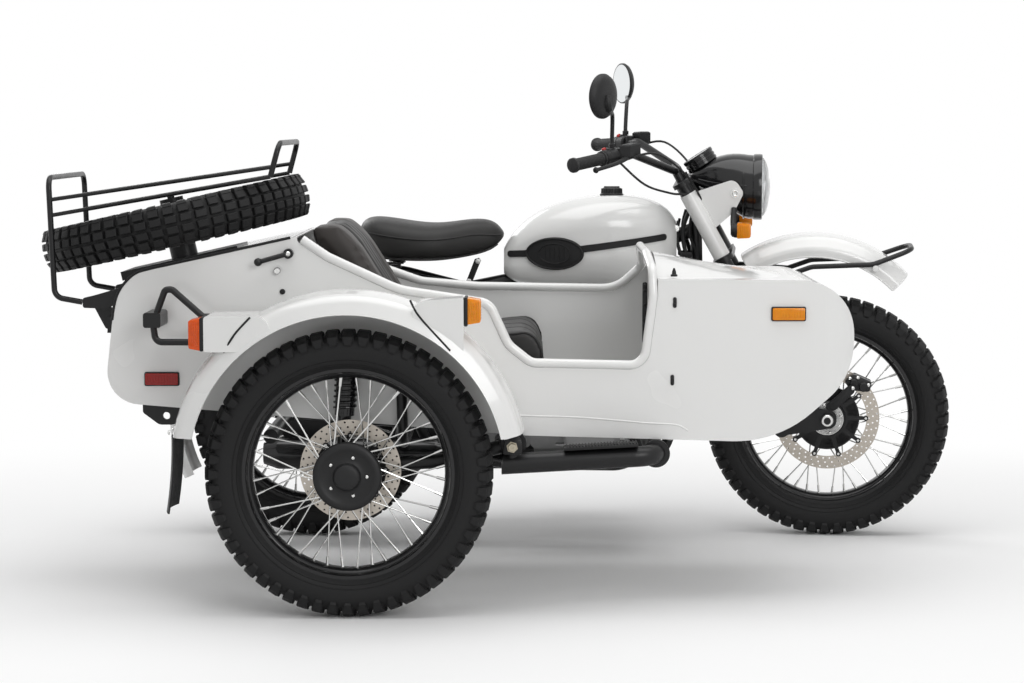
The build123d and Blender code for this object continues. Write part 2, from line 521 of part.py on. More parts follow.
tubes = [head_tube, pipe([(backbone_x, 0, backbone_z, 0), (900, 0, 800, 400), (440, 0, 706, 0)], 20)]
for side in (1, -1):
    tubes.append(cradle(side, 15))
    tubes.append(pipe([(440, side * 12, 712, 0), (250, side * RAIL_HALF, RAIL_Z - 6, 120),
                       (60, side * RAIL_HALF, RAIL_Z, 90), (-120, side * RAIL_HALF, RAIL_Z - 42, 0)], 12))
for x in (900, 420):
    tubes.append(pin_y(x, 227, 14, CRADLE_HALF, -CRADLE_HALF))
tubes.append(pin_y(60, RAIL_Z, 11.4, RAIL_HALF, -RAIL_HALF))
pivot_ear = outline([(PIVOT_X + 20, PIVOT_Z - 20, 16), (PIVOT_X + 20, PIVOT_Z + 20, 16), (296, 400, 10), (320, 296, 10)])
for side in (1, -1):
    tubes.append(pin_y(PIVOT_X, PIVOT_Z, 12, side * CRADLE_HALF, side * 126))
    tubes.append(across(pivot_ear, side * 136, side * 146))
cradle_room = {side: cradle(side, 15 + FIT) for side in (1, -1)}
backbone_room = pipe([(backbone_x, 0, backbone_z, 0), (900, 0, 800, 400), (440, 0, 706, 0)], 20 + FIT)
stem_bore = STEM * Pos(0, 0, head_low - 20) * extrude(Circle(STEM_R + RUN_FIT), 30 - head_low)
place("frame", joined(tubes) - stem_bore)

# Flat twin with its gearbox
case_rows = [(CRANK_X - 180, 262, 20), (CRANK_X + 176, 262, 30), (CRANK_X + 196, 330, 40), (CRANK_X + 176, 470, 60),
             (CRANK_X + 40, 520, 40), (CRANK_X - 160, 500, 40), (CRANK_X - 180, 430, 20)]
crankcase = across(outline(case_rows), 118, -118)
sump = across(outline([(CRANK_X - 160, 210, 16), (CRANK_X + 62, 210, 16), (CRANK_X + 80, 262, 4),
                       (CRANK_X - 170, 262, 4)]), 100, -100)
gearbox = across(outline([(CRANK_X - 384, 292, 40), (CRANK_X - 180, 262, 10), (CRANK_X - 180, 470, 10),
                          (CRANK_X - 400, 430, 60)]), 92, -104)
front_cover = rod((CRANK_X + 190, 0, CRANK_Z + 20), (CRANK_X + 222, 0, CRANK_Z + 20), 82)
front_foot = across(outline([(CRANK_X + 60, 241 + FIT, 0), (950, 241 + FIT, 0), (950, 258, 4), (CRANK_X + 60, 262, 0)]),
                    60, -60)
rear_foot = across(outline([(402, 241 + FIT, 0), (438, 241 + FIT, 0), (452, 330, 0), (434, 330, 0)]), 40, -40)
place("crankcase", crankcase + sump + gearbox + front_cover + front_foot + rear_foot)

barrels, heads, mixers = [], [], []
for side, bore_x in ((1, CRANK_X + 18), (-1, CRANK_X - 18)):
    barrel = pin_y(bore_x, CRANK_Z, 50, side * (118 + FIT), side * 262)
    for k in range(7):
        fin_y = side * (138 + k * 18)
        fin = Pos(bore_x, fin_y, CRANK_Z) * Rot(90, 0, 0) * extrude(RectangleRounded(150, 132, 40), 2.5, both=True)
        barrel = barrel + fin
    barrels.append(barrel)
    head = across(Pos(bore_x, CRANK_Z) * RectangleRounded(140, 128, 30), side * (262 + FIT), side * 300)
    for k in range(4):
        rib = Pos(bore_x - 4, side * 281, CRANK_Z - 48 + k * 32) * Box(176, 36, 5)
        head = head + rib
    head = head + across(Pos(bore_x, CRANK_Z) * RectangleRounded(128, 112, 36), side * 300, side * 360)
    heads.append(head)
    mixer = rod((bore_x - 92 - FIT, side * 281, CRANK_Z + 16), (bore_x - 196, side * 281, CRANK_Z + 16), 24)
    mixer = mixer + Pos(bore_x - 140, side * 281, CRANK_Z + 20) * Cylinder(30, 84)
    mixers.append(mixer)
place("cylinders", *barrels)
place("cylinder_heads", *heads)
place("carburettors", *mixers)

# Exhaust: header under each cylinder and a muffler along each side
exhausts = []
for side, bore_x in ((1, CRANK_X + 18), (-1, CRANK_X - 18)):
    header = pipe([(bore_x + 84 + FIT, side * 280, CRANK_Z - 10, 0), (bore_x + 150, side * 280, CRANK_Z - 10, 50),
                   (bore_x + 130, side * 236, 236, 80), (560, side * 206, 236, 200),
                   (MUFFLER_FRONT, side * MUFFLER_Y, MUFFLER_Z, 0)], 20)
    muffler = revolve(Plane.XY * outline([(MUFFLER_BACK, 0, 0), (MUFFLER_BACK, 30, 0), (MUFFLER_BACK + 40, 44, 20),
                                          (MUFFLER_FRONT - 60, 44, 20), (MUFFLER_FRONT, 21, 0),
                                          (MUFFLER_FRONT, 0, 0)]), Axis.X)
    muffler = Pos(0, side * MUFFLER_Y, MUFFLER_Z) * muffler
    hanger = across(outline([(434, 212, 4), (458, 212, 4), (462, 256, 0), (438, 262, 0)]),
                    side * (CRADLE_HALF + 15 + FIT), side * (MUFFLER_Y - 6))
    exhausts.append(header + muffler + hanger)
place("exhaust", *exhausts)

# Swinging arm with shaft drive on the right, its axle, and the rear shocks
arm_in = 118.0
arm = pin_y(PIVOT_X, PIVOT_Z, 18, arm_in, -arm_in)
for side, radius in ((1, 16), (-1, 20)):
    arm = arm + pipe([(PIVOT_X, side * 100, PIVOT_Z, 0), (200, side * 104, AXLE_Z, 200), (0, side * 104, AXLE_Z, 0)], radius)
    arm = arm + rod((-24, side * 108, AXLE_Z + 8), (-24, side * 124, SHOCK_LOW_Z), 10)
    arm = arm + pin_y(-24, SHOCK_LOW_Z, 12, side * 118, side * (REAR_SHOCK_Y - 10 - FIT))
arm = arm + pin_y(0, AXLE_Z, AXLE_R, 128, -118) + pin_y(0, AXLE_Z, 24, 120, REAR_HUB_LEFT + 2)
arm = arm + pin_y(0, AXLE_Z, 88, -REAR_HUB_RIGHT - 2, -126)
place("swinging_arm", arm)
rear_shocks = []
for side in (1, -1):
    foot = Vector(-24, side * REAR_SHOCK_Y, SHOCK_LOW_Z)
    top = Vector(52, side * REAR_SHOCK_Y, RAIL_Z - 4)
    run = (top - foot).normalized()
    shock = rod(foot, top, 9) + rod(foot + run * 90, top - run * 30, 27) + rod(foot + run * 20, foot + run * 90, 19)
    shock = shock + pin_y(foot.X, foot.Z, 14, foot.Y + 10, foot.Y - 10)
    shock = shock + pin_y(top.X, top.Z, 14, top.Y + side * 10, side * (RAIL_HALF + 12 + FIT))
    rear_shocks.append(shock)
# Tank: lofted between rounded sections, with a recess over the backbone and a pad on each knee
def tank_shape(grow):
    sections = []
    for x, half, low, high, radius in TANK_ROWS:
        middle = Plane(origin=(x, 0, (low + high) / 2), x_dir=(0, 1, 0), z_dir=(1, 0, 0))
        sections.append(middle * RectangleRounded(2 * (half + grow), high - low + 2 * grow, radius + grow))
    return loft(sections)


tank = tank_shape(0)
tunnel = across(outline([(530, 600, 0), (530, 752, 0), (900, 826, 0), (940, 840, 0), (940, 600, 0)]), 20 + FIT, -20 - FIT)
neck_room = across(outline([(930, 600, 0), (930, 838, 0), (1060, 892, 0), (1060, 600, 0)]), 36, -36)
place("fuel_tank", tank - tunnel - neck_room)
place("tank_cap", Pos(852, 0, 962) * extrude(Circle(34), 32) - tank_shape(FIT))
band_face = outline([(556, 800, 8), (700, 808, 100), (1004, 850, 8), (1004, 868, 8), (700, 828, 100), (556, 818, 8)])
oval_face = Pos(690, 814) * Ellipse(80, 45)
pad_cover = (tank_shape(4) - tank_shape(FIT), tank_shape(9) - tank_shape(FIT))
pads = []
for side in (1, -1):
    band = across(band_face, side * 60, side * 190) & pad_cover[0]
    oval = across(oval_face, side * 60, side * 190) & pad_cover[1]
    pads.append(band + oval)
place("tank_pads", *pads)

# Rider's saddle on its springs
saddle_face = outline([(140, 884, 20), (158, 915, 26), (250, 908, 120), (340, 890, 200), (440, 906, 160), (510, 906, 30),
                       (545, 866, 16), (500, 812, 60), (380, 790, 200), (220, 790, 60), (160, 818, 40)])
saddle_plan = outline([(136, -130, 80), (136, 130, 80), (330, 150, 160), (420, 92, 120), (550, 60, 40), (550, -60, 40),
                       (420, -92, 120), (330, -150, 160)])
saddle = across(saddle_face, 170, -170) & extrude(Pos(0, 0, 700) * saddle_plan, 300)
place("saddle", saddle)
saddle_springs = []
for side in (1, -1):
    spring = rod((235, side * RAIL_HALF, RAIL_Z + 7.6), (235, side * RAIL_HALF, 789.7), 27)
    saddle_springs.append(spring)
nose = pipe([(454, 0, 716, 0), (440, 0, 768, 20), (466, 0, 790, 0)], 9) - backbone_room
place("saddle_springs", *saddle_springs, nose)

# Rear mudguard, its lamp, and the boxes under the saddle
rear_rows = [(-80, 372, 0), (-80, 390, 18), (-54, 406, 30), (54, 406, 30), (80, 390, 18), (80, 372, 0)]
rear_fender = Pos(0, 0, AXLE_Z) * guard_shell(rear_rows, 40, 166)
tail_box = Pos(-376, 0, 556) * Rot(0, 26, 0) * Box(66, 96, 60)
tail_box = tail_box - Pos(0, 0, AXLE_Z) * turned([(-100, 0, 0), (100, 0, 0), (100, 405, 0), (-100, 405, 0)])
place("rear_fender", rear_fender + tail_box)
tail_lens = Pos(-376, 0, 556) * Rot(0, 26, 0) * Pos(-33 - FIT - 7, 0, 0) * Box(14, 88, 52)
boxes = []
for side in (1, -1):
    box = across(outline([(330, 470, 30), (500, 470, 30), (470, 640, 40), (350, 640, 40)]), side * 60, side * 120)
    box = box + rod((345, side * 108, 560), (262, side * 134.9, 560), 8) - cradle_room[side]
    boxes.append(box)
place("side_boxes", *boxes)
pegs = []
for side in (1, -1):
    peg = pipe([(540, side * CRADLE_HALF, 240, 0), (540, side * CRADLE_HALF, 300, 24), (540, side * 300, 300, 0)], 10)
    peg = peg + pin_y(540, 300, 18, side * 190, side * 300)
    pegs.append(peg)
place("foot_pegs", *pegs)

# Sidecar body: a sheet shell from its side outline and plan, open over the cockpit and the boot
def tub_shape(inset):
    side = offset(outline(TUB_SIDE), -inset) if inset else outline(TUB_SIDE)
    plan = offset(outline(TUB_PLAN), -inset) if inset else outline(TUB_PLAN)
    column = extrude(Pos(0, 0, 300) * plan, 700)
    left, right = TUB_LEFT - 4 - inset, TUB_RIGHT + 4 + inset
    arches = []
    for x, rise in CROWN_ROWS:
        low, spring = CREASE_Z - 60, CREASE_Z - 6 - inset
        arch = Polyline((left, spring), (left, low), (right, low), (right, spring))
        arch = arch + ThreePointArc((right, spring), ((left + right) / 2, CREASE_Z + rise - inset), (left, spring))
        arches.append(Plane(origin=(x, 0, 0), x_dir=(0, 1, 0), z_dir=(1, 0, 0)) * make_face(arch))
    return (across(side, TUB_LEFT, TUB_RIGHT) + loft(arches, ruled=True)) & column


outer = tub_shape(0)
inner = tub_shape(SHEET)
outer_grown = across(offset(outline(TUB_SIDE), FIT), TUB_LEFT + FIT, TUB_RIGHT - FIT)
rim_close = [(HOOP_X, 1000.0, 0), (BULKHEAD_X, 1000.0, 0)]
rim_room = RIM_TUBE_R + FIT
near_cut = across(offset(outline(list(NEAR_RIM) + rim_close), rim_room), TUB_RIGHT - 20, TUB_RIGHT + 30)
far_cut = across(offset(outline(list(FAR_RIM) + rim_close), rim_room), TUB_RIGHT + 30, TUB_LEFT + 20)
lid_room = across(outline(LID_ROOM), TUB_RIGHT + SHEET, TUB_LEFT - SHEET)
pan_path = FilletPolyline(*[row[:2] for row in PAN_ROWS], radius=[row[2] for row in PAN_ROWS[1:-1]])
pan = across(trace(pan_path, SHEET), TUB_LEFT - 1, TUB_RIGHT + 1) & outer
tub = (outer - inner + pan) - near_cut - far_cut - lid_room
place("tub", tub)

# Beading tube round the cockpit
wall_mid = SHEET / 2
rim_near = [(x, TUB_RIGHT + wall_mid, z, r) for x, z, r in NEAR_RIM]
rim_far = [(x, TUB_LEFT - wall_mid, z, r) for x, z, r in reversed(FAR_RIM)]
hoop = [(x, y, z, r) for x, y, z, r in HOOP_ROWS]
place("cockpit_rim", pipe(rim_near + hoop + rim_far, RIM_TUBE_R))

# Passenger's seat: a cushion on the pan and a back against the bulkhead
cushion = across(outline([(250, 531.3, 30), (648, 551.5, 30), (664, 610, 40), (640, 676, 50), (260, 640, 40)]), -472, -976)
place("sidecar_cushion", cushion)
back_face = outline([(236, 638.1, 30), (80, 908, 0), (76, 930, 20), (150, 936, 24), (196, 890, 60), (345, 648.4, 20)])
back_rest = across(back_face, -478, -970) - across(trace(pan_path, SHEET + 2 * FIT), TUB_LEFT, TUB_RIGHT)
place("sidecar_backrest", back_rest.solids().sort_by(Axis.Z)[-1])

# Boot lid between the side walls, with its hinge arms and the carrier of the spare wheel
def lid_slice(inset):
    side = offset(outline(TUB_SIDE), -inset) if inset else outline(TUB_SIDE)
    return across(side, TUB_LEFT - SHEET - MOVE_GAP, TUB_RIGHT + SHEET + MOVE_GAP)


lid_keep = across(offset(outline(LID_ROOM), -MOVE_GAP), TUB_LEFT, TUB_RIGHT)
lid = (lid_slice(0) - lid_slice(SHEET)) & lid_keep
hinge_arms = []
for y in HINGE_ARMS:
    arm_side = outline([(HINGE_X + 80, HINGE_Z + 44, 0), (HINGE_X - 10, HINGE_Z + 18, 10), (HINGE_X - 36, HINGE_Z + 12, 6),
                        (HINGE_X - 36, HINGE_Z - 12, 6), (HINGE_X + 20, HINGE_Z - 14, 10), (HINGE_X + 80, HINGE_Z + 10, 0)])
    hinge_arms.append(across(arm_side, y + 5, y - 5) - outer_grown)
hinge_pin = pin_y(HINGE_X, HINGE_Z, HINGE_PIN_R, HINGE_ARMS[0], HINGE_ARMS[1])
place("boot_lid", lid)
brackets = []
for y in (HINGE_ARMS[0] + 24, HINGE_ARMS[1] - 24):
    web = outline([(-396, 672, 0), (-396, 706, 0), (HINGE_X + 12, HINGE_Z + 12, 11), (HINGE_X - 12, HINGE_Z + 12, 11),
                   (HINGE_X - 12, HINGE_Z - 12, 10), (-424, 672, 10)])
    bracket = across(web, y + 5, y - 5) + across(outline([(-396, 664, 0), (-388, 704, 0), (-416, 704, 0), (-418, 664, 0)]),
                                                 y + 22, y - 22)
    brackets.append(bracket - outer_grown - pin_y(HINGE_X, HINGE_Z, HINGE_PIN_R + RUN_FIT, y + 20, y - 20))

slope = radians(LID_SLOPE)
spare_mid = Plane(origin=(SPARE_X, SPARE_Y, SPARE_Z), x_dir=(cos(slope), 0, sin(slope)), z_dir=(-sin(slope), 0, cos(slope)))
spare_hub = 50.0
post = spare_mid * Pos(0, 0, -110) * extrude(Circle(34), 110 - spare_hub - FIT)
stud = spare_mid * Pos(0, 0, -60) * extrude(Circle(AXLE_R - 1), 60 + spare_hub + 20)
nut = spare_mid * Pos(0, 0, spare_hub + FIT) * extrude(Circle(30), 14)
foot_plate = spare_mid * Pos(0, 0, -110) * extrude(Rectangle(300, 220), 22)
place("spare_carrier", post + stud + nut + foot_plate - outer_grown)
stand = Location(spare_mid) * Rot(-90, 0, 0)
place("spare_tyre", stand * TYRE)
place("spare_rim", *[stand * shape for shape in wire_wheel(spare_hub, -spare_hub)])

# Luggage rack over the spare: end hoops, side rails and zigzag slats, on the lid's hinge arms
rack = [pipe(row, RACK_R) for row in RACK_PIPES]
for (xa, za), (xb, zb) in RACK_RAILS:
    for y in (RACK_NEAR, RACK_FAR):
        rack.append(rod((xa, y, za), (xb, y, zb), RACK_ROD_R))
(xa, za), (xb, zb) = RACK_RAILS[1]
for k in range(SLATS):
    near = (k + 0.25 + 0.5 * (k % 2)) / SLATS
    far = (k + 0.75 - 0.5 * (k % 2)) / SLATS
    rack.append(rod((xa + (xb - xa) * near, RACK_NEAR, za + (zb - za) * near),
                    (xa + (xb - xa) * far, RACK_FAR, za + (zb - za) * far), SLAT_R))
place("luggage_rack", joined(rack + hinge_arms + [hinge_pin]) - lid)

# Sidecar frame: step tube and cross tube, inner rail, upright for the shock, and stays to the bike
def stay(start, end, radius, start_room):
    """Rod that stops just short of the tube it is clamped to."""
    start, end = Vector(*start), Vector(*end)
    return rod(start + (end - start).normalized() * (start_room + FIT), end, radius)


chassis_tubes = [
    pipe([(552, STEP_Y, 356, 0), (CROSS_X, STEP_Y, CROSS_Z, 52), (CROSS_X, RAIL_IN_Y, CROSS_Z, 0)], STEP_R),
    pipe([(CROSS_X + 40, RAIL_IN_Y, CROSS_Z, 0), (300, RAIL_IN_Y, CROSS_Z + 14, 300), (-60, RAIL_IN_Y, 410, 0)], TUBE_R),
    pipe([(310, RAIL_IN_Y, 398, 0), (310, SHOCK_POST_Y, 398, 46), (306, SHOCK_POST_Y, 560, 60),
          (WHEEL_LEAD + 9, SHOCK_POST_Y, 632, 0)], 13),
    pin_y(-20, 408, TUBE_R, RAIL_IN_Y, -960),
    stay((1012, -CRADLE_HALF, 300), (CROSS_X + 20, RAIL_IN_Y, CROSS_Z), 14, 15),
    stay((262, -CRADLE_HALF, 430), (262, RAIL_IN_Y, 394), 14, 15),
    stay((1086, -110, 590), (CROSS_X, RAIL_IN_Y, CROSS_Z), 13, 15),
    stay((262, -RAIL_HALF, 700), (430, RAIL_IN_Y, 388), 12, 15),
    pin_y(ARM_PIVOT[0], ARM_PIVOT[1], 11, STEP_Y + STEP_R, STEP_Y - 34),
    rod((ARM_PIVOT[0], STEP_Y, 356), (ARM_PIVOT[0], STEP_Y, ARM_PIVOT[1] + 14), 20),
]
for x, y in ((CROSS_X, -940), (CROSS_X, -520), (310, -940), (310, -520)):
    tub_low = 418 + (x - 600) * (-17 / 622 if x > 600 else -82 / 1020)
    chassis_tubes.append(rod((x, y, 398), (x, y, tub_low - 2), 16))
place("sidecar_frame", joined(chassis_tubes) - outer_grown - cradle_room[-1])
tread = across(outline([(700, 424, 5), (880, 434, 5), (880, 376, 0), (700, 368, 0)]), STEP_Y + 26, STEP_Y - 30)
step_room = pipe([(552, STEP_Y, 356, 0), (CROSS_X, STEP_Y, CROSS_Z, 52), (CROSS_X, RAIL_IN_Y, CROSS_Z, 0)], STEP_R + FIT)
place("step_plate", tread - step_room)

# Sidecar wheel: trailing arm, stub axle, brake and shock
side_arm = pipe([(ARM_PIVOT[0] - 28, ARM_Y, ARM_PIVOT[1] - 7, 0), (400, ARM_Y, 360, 200), (WHEEL_LEAD, ARM_Y, AXLE_Z, 0)],
                ARM_R)
side_arm = side_arm + pin_y(ARM_PIVOT[0], ARM_PIVOT[1], 34, ARM_Y + ARM_R, STEP_Y + STEP_R + FIT)
side_arm = side_arm + pin_y(WHEEL_LEAD, AXLE_Z, 28, ARM_Y + ARM_R, -TRACK + SIDE_HUB_IN + 2)
side_arm = side_arm + pin_y(WHEEL_LEAD, AXLE_Z, AXLE_R, ARM_Y, -TRACK - SIDE_HUB_OUT + 6)
side_arm = side_arm + rod((WHEEL_LEAD - 22, ARM_Y, AXLE_Z + 6), (WHEEL_LEAD - 22, ARM_Y, AXLE_Z + 34), 14)
place("wheel_arm", side_arm)
side_foot = Vector(WHEEL_LEAD - 22, SIDE_SHOCK_Y, AXLE_Z + 48 + FIT)
side_top = Vector(WHEEL_LEAD - 8, SIDE_SHOCK_Y, 640)
run = (side_top - side_foot).normalized()
side_shock = rod(side_foot, side_top, 8) + rod(side_foot + run * 80, side_top - run * 22, 24)
side_shock = side_shock + rod(side_foot, side_foot + run * 80, 17)
side_shock = side_shock + pin_y(side_top.X, side_top.Z, 12, SIDE_SHOCK_Y + 9, SIDE_SHOCK_Y - 9)
side_shock = side_shock + pin_y(side_foot.X, side_foot.Z, 14, SIDE_SHOCK_Y + 10, SIDE_SHOCK_Y - 10)
place("rear_shocks", side_shock, *rear_shocks)

# Sidecar mudguard with lamp housings on its shoulder, flap and lamps
guard_centre = Pos(WHEEL_LEAD, 0, GUARD_Z)
guard_skin = guard_centre * guard_shell(GUARD_SECTION, GUARD_START, GUARD_SPAN)
core_rows = [(y, r + 0.5, radius) for y, r, radius in GUARD_SECTION]
core_rows = [(TUB_RIGHT + 40, 0, 0), (TUB_RIGHT + 40, 404, 0)] + core_rows[1:-1] + [(-1234.0, 372.0, 0), (-1234.0, 0, 0)]
guard_core = guard_centre * revolve(Plane.YZ * outline(core_rows), Axis.Y)
pods = []
for rows, y_in, y_out in POD_ROWS:
    pods.append(across(outline(rows), y_in, y_out) - guard_core)
skin_keep = Pos(WHEEL_LEAD, -TRACK, GUARD_LOW + 300) * Box(1000, 400, 600)
place("sidecar_mudguard", (guard_skin & skin_keep) + pods)


def flap_section(x, z, bow):
    """Thin band across the flap, bowed backwards, at one height."""
    outer = ThreePointArc((x + bow, -TRACK - FLAP_HALF), (x, -TRACK), (x + bow, -TRACK + FLAP_HALF))
    inner = ThreePointArc((x + bow + FLAP_T, -TRACK + FLAP_HALF), (x + FLAP_T, -TRACK),
                          (x + bow + FLAP_T, -TRACK - FLAP_HALF))
    return Pos(0, 0, z) * make_face([outer, Line(outer @ 1, inner @ 0), inner, Line(inner @ 1, outer @ 0)])


place("mud_flap", loft([flap_section(WHEEL_LEAD - 421.5, GUARD_LOW - FIT, 12),
                       flap_section(WHEEL_LEAD - 425, 340, 12),
                       flap_section(WHEEL_LEAD - 435, 257, 12)]))

red, amber = [tail_lens], []
red.append(across(outline([(REAR_LAMP_X - 36, 650, 4), (REAR_LAMP_X - FIT, 644, 2), (REAR_LAMP_X - FIT, 722, 2),
                           (REAR_LAMP_X - 36, 716, 4)]), -TRACK - 20, -TRACK - 86))
red.append(across(outline([(-318, 541, 3), (-237, 541, 3), (-237, 571, 3), (-318, 571, 3)]),
                  TUB_RIGHT - FIT, TUB_RIGHT - 10))
amber.append(across(outline([(FRONT_LAMP_X + FIT, 706, 2), (FRONT_LAMP_X + 40, 708, 4), (FRONT_LAMP_X + 40, 762, 4),
                             (FRONT_LAMP_X + FIT, 768, 2)]), -TRACK - 10, -TRACK - 78))
amber.append(across(outline([(1206, 700, 3), (1286, 700, 3), (1286, 731, 3), (1206, 731, 3)]),
                    TUB_RIGHT - FIT, TUB_RIGHT - 10))
place("red_lenses", *red)
place("amber_lenses", *amber)

# Black fittings on the sidecar body: grab loop, hinge brackets, towing eye, boot latch
loop_y = 28.0 - TRACK
loop = pipe([(REAR_LAMP_X - FIT, loop_y, 716, 0), (REAR_LAMP_X - 16, loop_y, 716, 12),
             (REAR_LAMP_X - 90, loop_y, 782, 16), (REAR_LAMP_X - 106, loop_y, 780, 10),
             (REAR_LAMP_X - 136, loop_y, 700, 30), (REAR_LAMP_X - 130, loop_y, 655, 18),
             (REAR_LAMP_X - FIT, loop_y, 655, 0)], 8)
clamp = across(Pos(REAR_LAMP_X - 137, 708) * RectangleRounded(42, 36, 6), TUB_RIGHT - FIT, loop_y - 12)
eye_plate = across(outline([(-330, 500, 0), (-330, 470, 10), (-290, TOW_Z - 22, 22), (-250, TOW_Z - 22, 22),
                            (-226, 470, 10), (-226, 500, 0)]), TOW_Y + TOW_T / 2, TOW_Y - TOW_T / 2)
eye_plate = eye_plate - pin_y(TOW_X, TOW_Z, TOW_R, TOW_Y + 20, TOW_Y - 20) - outer_grown
latch = pin_y(34, 862, 12, TUB_RIGHT - FIT, TUB_RIGHT - 22) + rod((34, TUB_RIGHT - 18, 862), (-38, TUB_RIGHT - 24, 842), 6)
latch = latch + Pos(-38, TUB_RIGHT - 24, 842) * Sphere(10)
lock = pin_y(6, 820, 8, TUB_RIGHT - FIT, TUB_RIGHT - 10)
place("tub_fittings", loop + clamp, eye_plate, latch, lock, *brackets)

os.makedirs("parts", exist_ok=True)
for name, solids in PIECES.items():
    node = solids[0] if len(solids) == 1 else Compound(children=solids)
    export_step(node, f"parts/{name}.step")
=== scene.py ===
import json
import math

import bmesh
import bpy
from mathutils import Matrix, Vector


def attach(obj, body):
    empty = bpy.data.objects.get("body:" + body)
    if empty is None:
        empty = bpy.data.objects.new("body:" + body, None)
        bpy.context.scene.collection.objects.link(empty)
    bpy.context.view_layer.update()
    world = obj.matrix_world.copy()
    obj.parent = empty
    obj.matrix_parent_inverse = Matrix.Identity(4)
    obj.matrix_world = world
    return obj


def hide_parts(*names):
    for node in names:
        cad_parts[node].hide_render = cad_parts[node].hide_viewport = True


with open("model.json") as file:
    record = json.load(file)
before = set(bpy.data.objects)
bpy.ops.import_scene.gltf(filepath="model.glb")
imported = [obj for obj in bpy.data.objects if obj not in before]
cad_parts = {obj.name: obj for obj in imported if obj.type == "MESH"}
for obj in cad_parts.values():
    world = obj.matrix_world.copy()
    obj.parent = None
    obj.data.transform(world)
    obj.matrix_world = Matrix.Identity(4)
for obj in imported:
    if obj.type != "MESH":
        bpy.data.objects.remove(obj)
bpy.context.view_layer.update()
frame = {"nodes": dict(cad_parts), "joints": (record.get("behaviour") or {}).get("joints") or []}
nodes = frame["nodes"]
joints = {joint["name"]: joint for joint in frame["joints"]}
bike_y = joints["steering"]["pos_m"][1]
tail_x = joints["rear_wheel_spin"]["pos_m"][0]


def at(x, y, z):
    """A point given in millimetres from the rear tyre's footprint, as a place in the frame."""
    return Vector((tail_x + x / 1000, bike_y + y / 1000, z / 1000))


# White enamel of the bodywork: tub, lid, mudguards, tank, side boxes and fork covers.
# Two-pack gloss over steel, a little uneven, with a faint orange-peel surface.
def set_inputs(tree, node, rows):
    """Gives a node's inputs their values, or links them where an output is given."""
    for socket, value in rows.items():
        if isinstance(value, bpy.types.NodeSocket):
            tree.links.new(value, node.inputs[socket])
        else:
            node.inputs[socket].default_value = value


def add_node(tree, kind, rows=None, **settings):
    """A new node with its settings and its inputs."""
    node = tree.nodes.new(kind)
    for name, value in settings.items():
        setattr(node, name, value)
    set_inputs(tree, node, rows or {})
    return node


def finish(name, colour, roughness, metal=0.0, coat=0.0, mottle=0.04, size=0.06, bump=0.0, grain=0.0008, shine=0.5):
    """A solid finish whose tone and gloss drift over `size` metres, with a fine surface grain."""
    material = bpy.data.materials.new(name)
    material.use_nodes = True
    tree = material.node_tree
    shader = tree.nodes["Principled BSDF"]
    place = add_node(tree, "ShaderNodeTexCoord").outputs["Object"]
    cloud = add_node(tree, "ShaderNodeTexNoise", {"Vector": place, "Scale": 1 / size, "Detail": 4}).outputs["Fac"]
    tone = add_node(tree, "ShaderNodeMix", data_type="RGBA")
    set_inputs(tree, tone, {"Factor": cloud, "A": (*[c * (1 - mottle) for c in colour], 1),
                            "B": (*[min(1, c * (1 + mottle)) for c in colour], 1)})
    gloss = add_node(tree, "ShaderNodeMapRange",
                     {"Value": cloud, "To Min": roughness * 0.8, "To Max": min(1, roughness * 1.2)})
    set_inputs(tree, shader, {"Metallic": metal, "Specular IOR Level": shine, "Coat Weight": coat,
                              "Coat Roughness": 0.06, "Base Color": tone.outputs["Result"],
                              "Roughness": gloss.outputs["Result"]})
    if bump:
        fine = add_node(tree, "ShaderNodeTexNoise", {"Vector": place, "Scale": 1 / grain, "Detail": 3})
        relief = add_node(tree, "ShaderNodeBump",
                          {"Strength": bump, "Distance": grain, "Height": fine.outputs["Fac"]})
        set_inputs(tree, shader, {"Normal": relief.outputs["Normal"]})
    return material


def dress(material, *names):
    """Gives CAD nodes their finish."""
    for name in names:
        for slot in nodes[name].material_slots:
            slot.material = material


white_enamel = finish("white_enamel", (0.715, 0.715, 0.705), 0.26, coat=0.6, mottle=0.004, size=0.6,
                      bump=0.02, grain=0.006)
dress(white_enamel, "tub", "boot_lid", "sidecar_mudguard", "cockpit_rim", "front_fender", "rear_fender",
      "fuel_tank", "side_boxes", "fork_covers")

# Black finishes: satin powder coat on the tubes of the frames, fork, arms, rack and bars, gloss paint on the
# exhaust and shock absorbers, and grained plastic for controls and covers.
black_satin = finish("black_satin", (0.0085, 0.0085, 0.009), 0.32, mottle=0.10, size=0.05, bump=0.10,
                     grain=0.0012, shine=0.30)
dress(black_satin, "frame", "swinging_arm", "fork", "front_links", "handlebar", "fender_bar", "sidecar_frame",
      "wheel_arm", "spare_carrier", "luggage_rack", "tub_fittings")
black_gloss = finish("black_gloss", (0.007, 0.007, 0.0075), 0.16, coat=0.25, mottle=0.10, size=0.06, bump=0.03,
                     grain=0.001, shine=0.30)
dress(black_gloss, "rear_shocks", "front_shocks", "exhaust")
black_plastic = finish("black_plastic", (0.011, 0.011, 0.0115), 0.46, mottle=0.12, size=0.02, bump=0.25,
                       grain=0.0006, shine=0.28)

# Tyres: four lugged tyres of one size, moulded black rubber on a round carcass.
# Each pitch carries a staggered pair of crown blocks and a pair of shoulder blocks that run down the side.
tyre_r, bead_r = 0.3450, 0.2513
tyre_floor = tyre_r - 0.0105
pitches = 56
rubber = finish("tyre_rubber", (0.0095, 0.0095, 0.0098), 0.58, mottle=0.22, size=0.018, bump=0.30,
                grain=0.0009, shine=0.22)


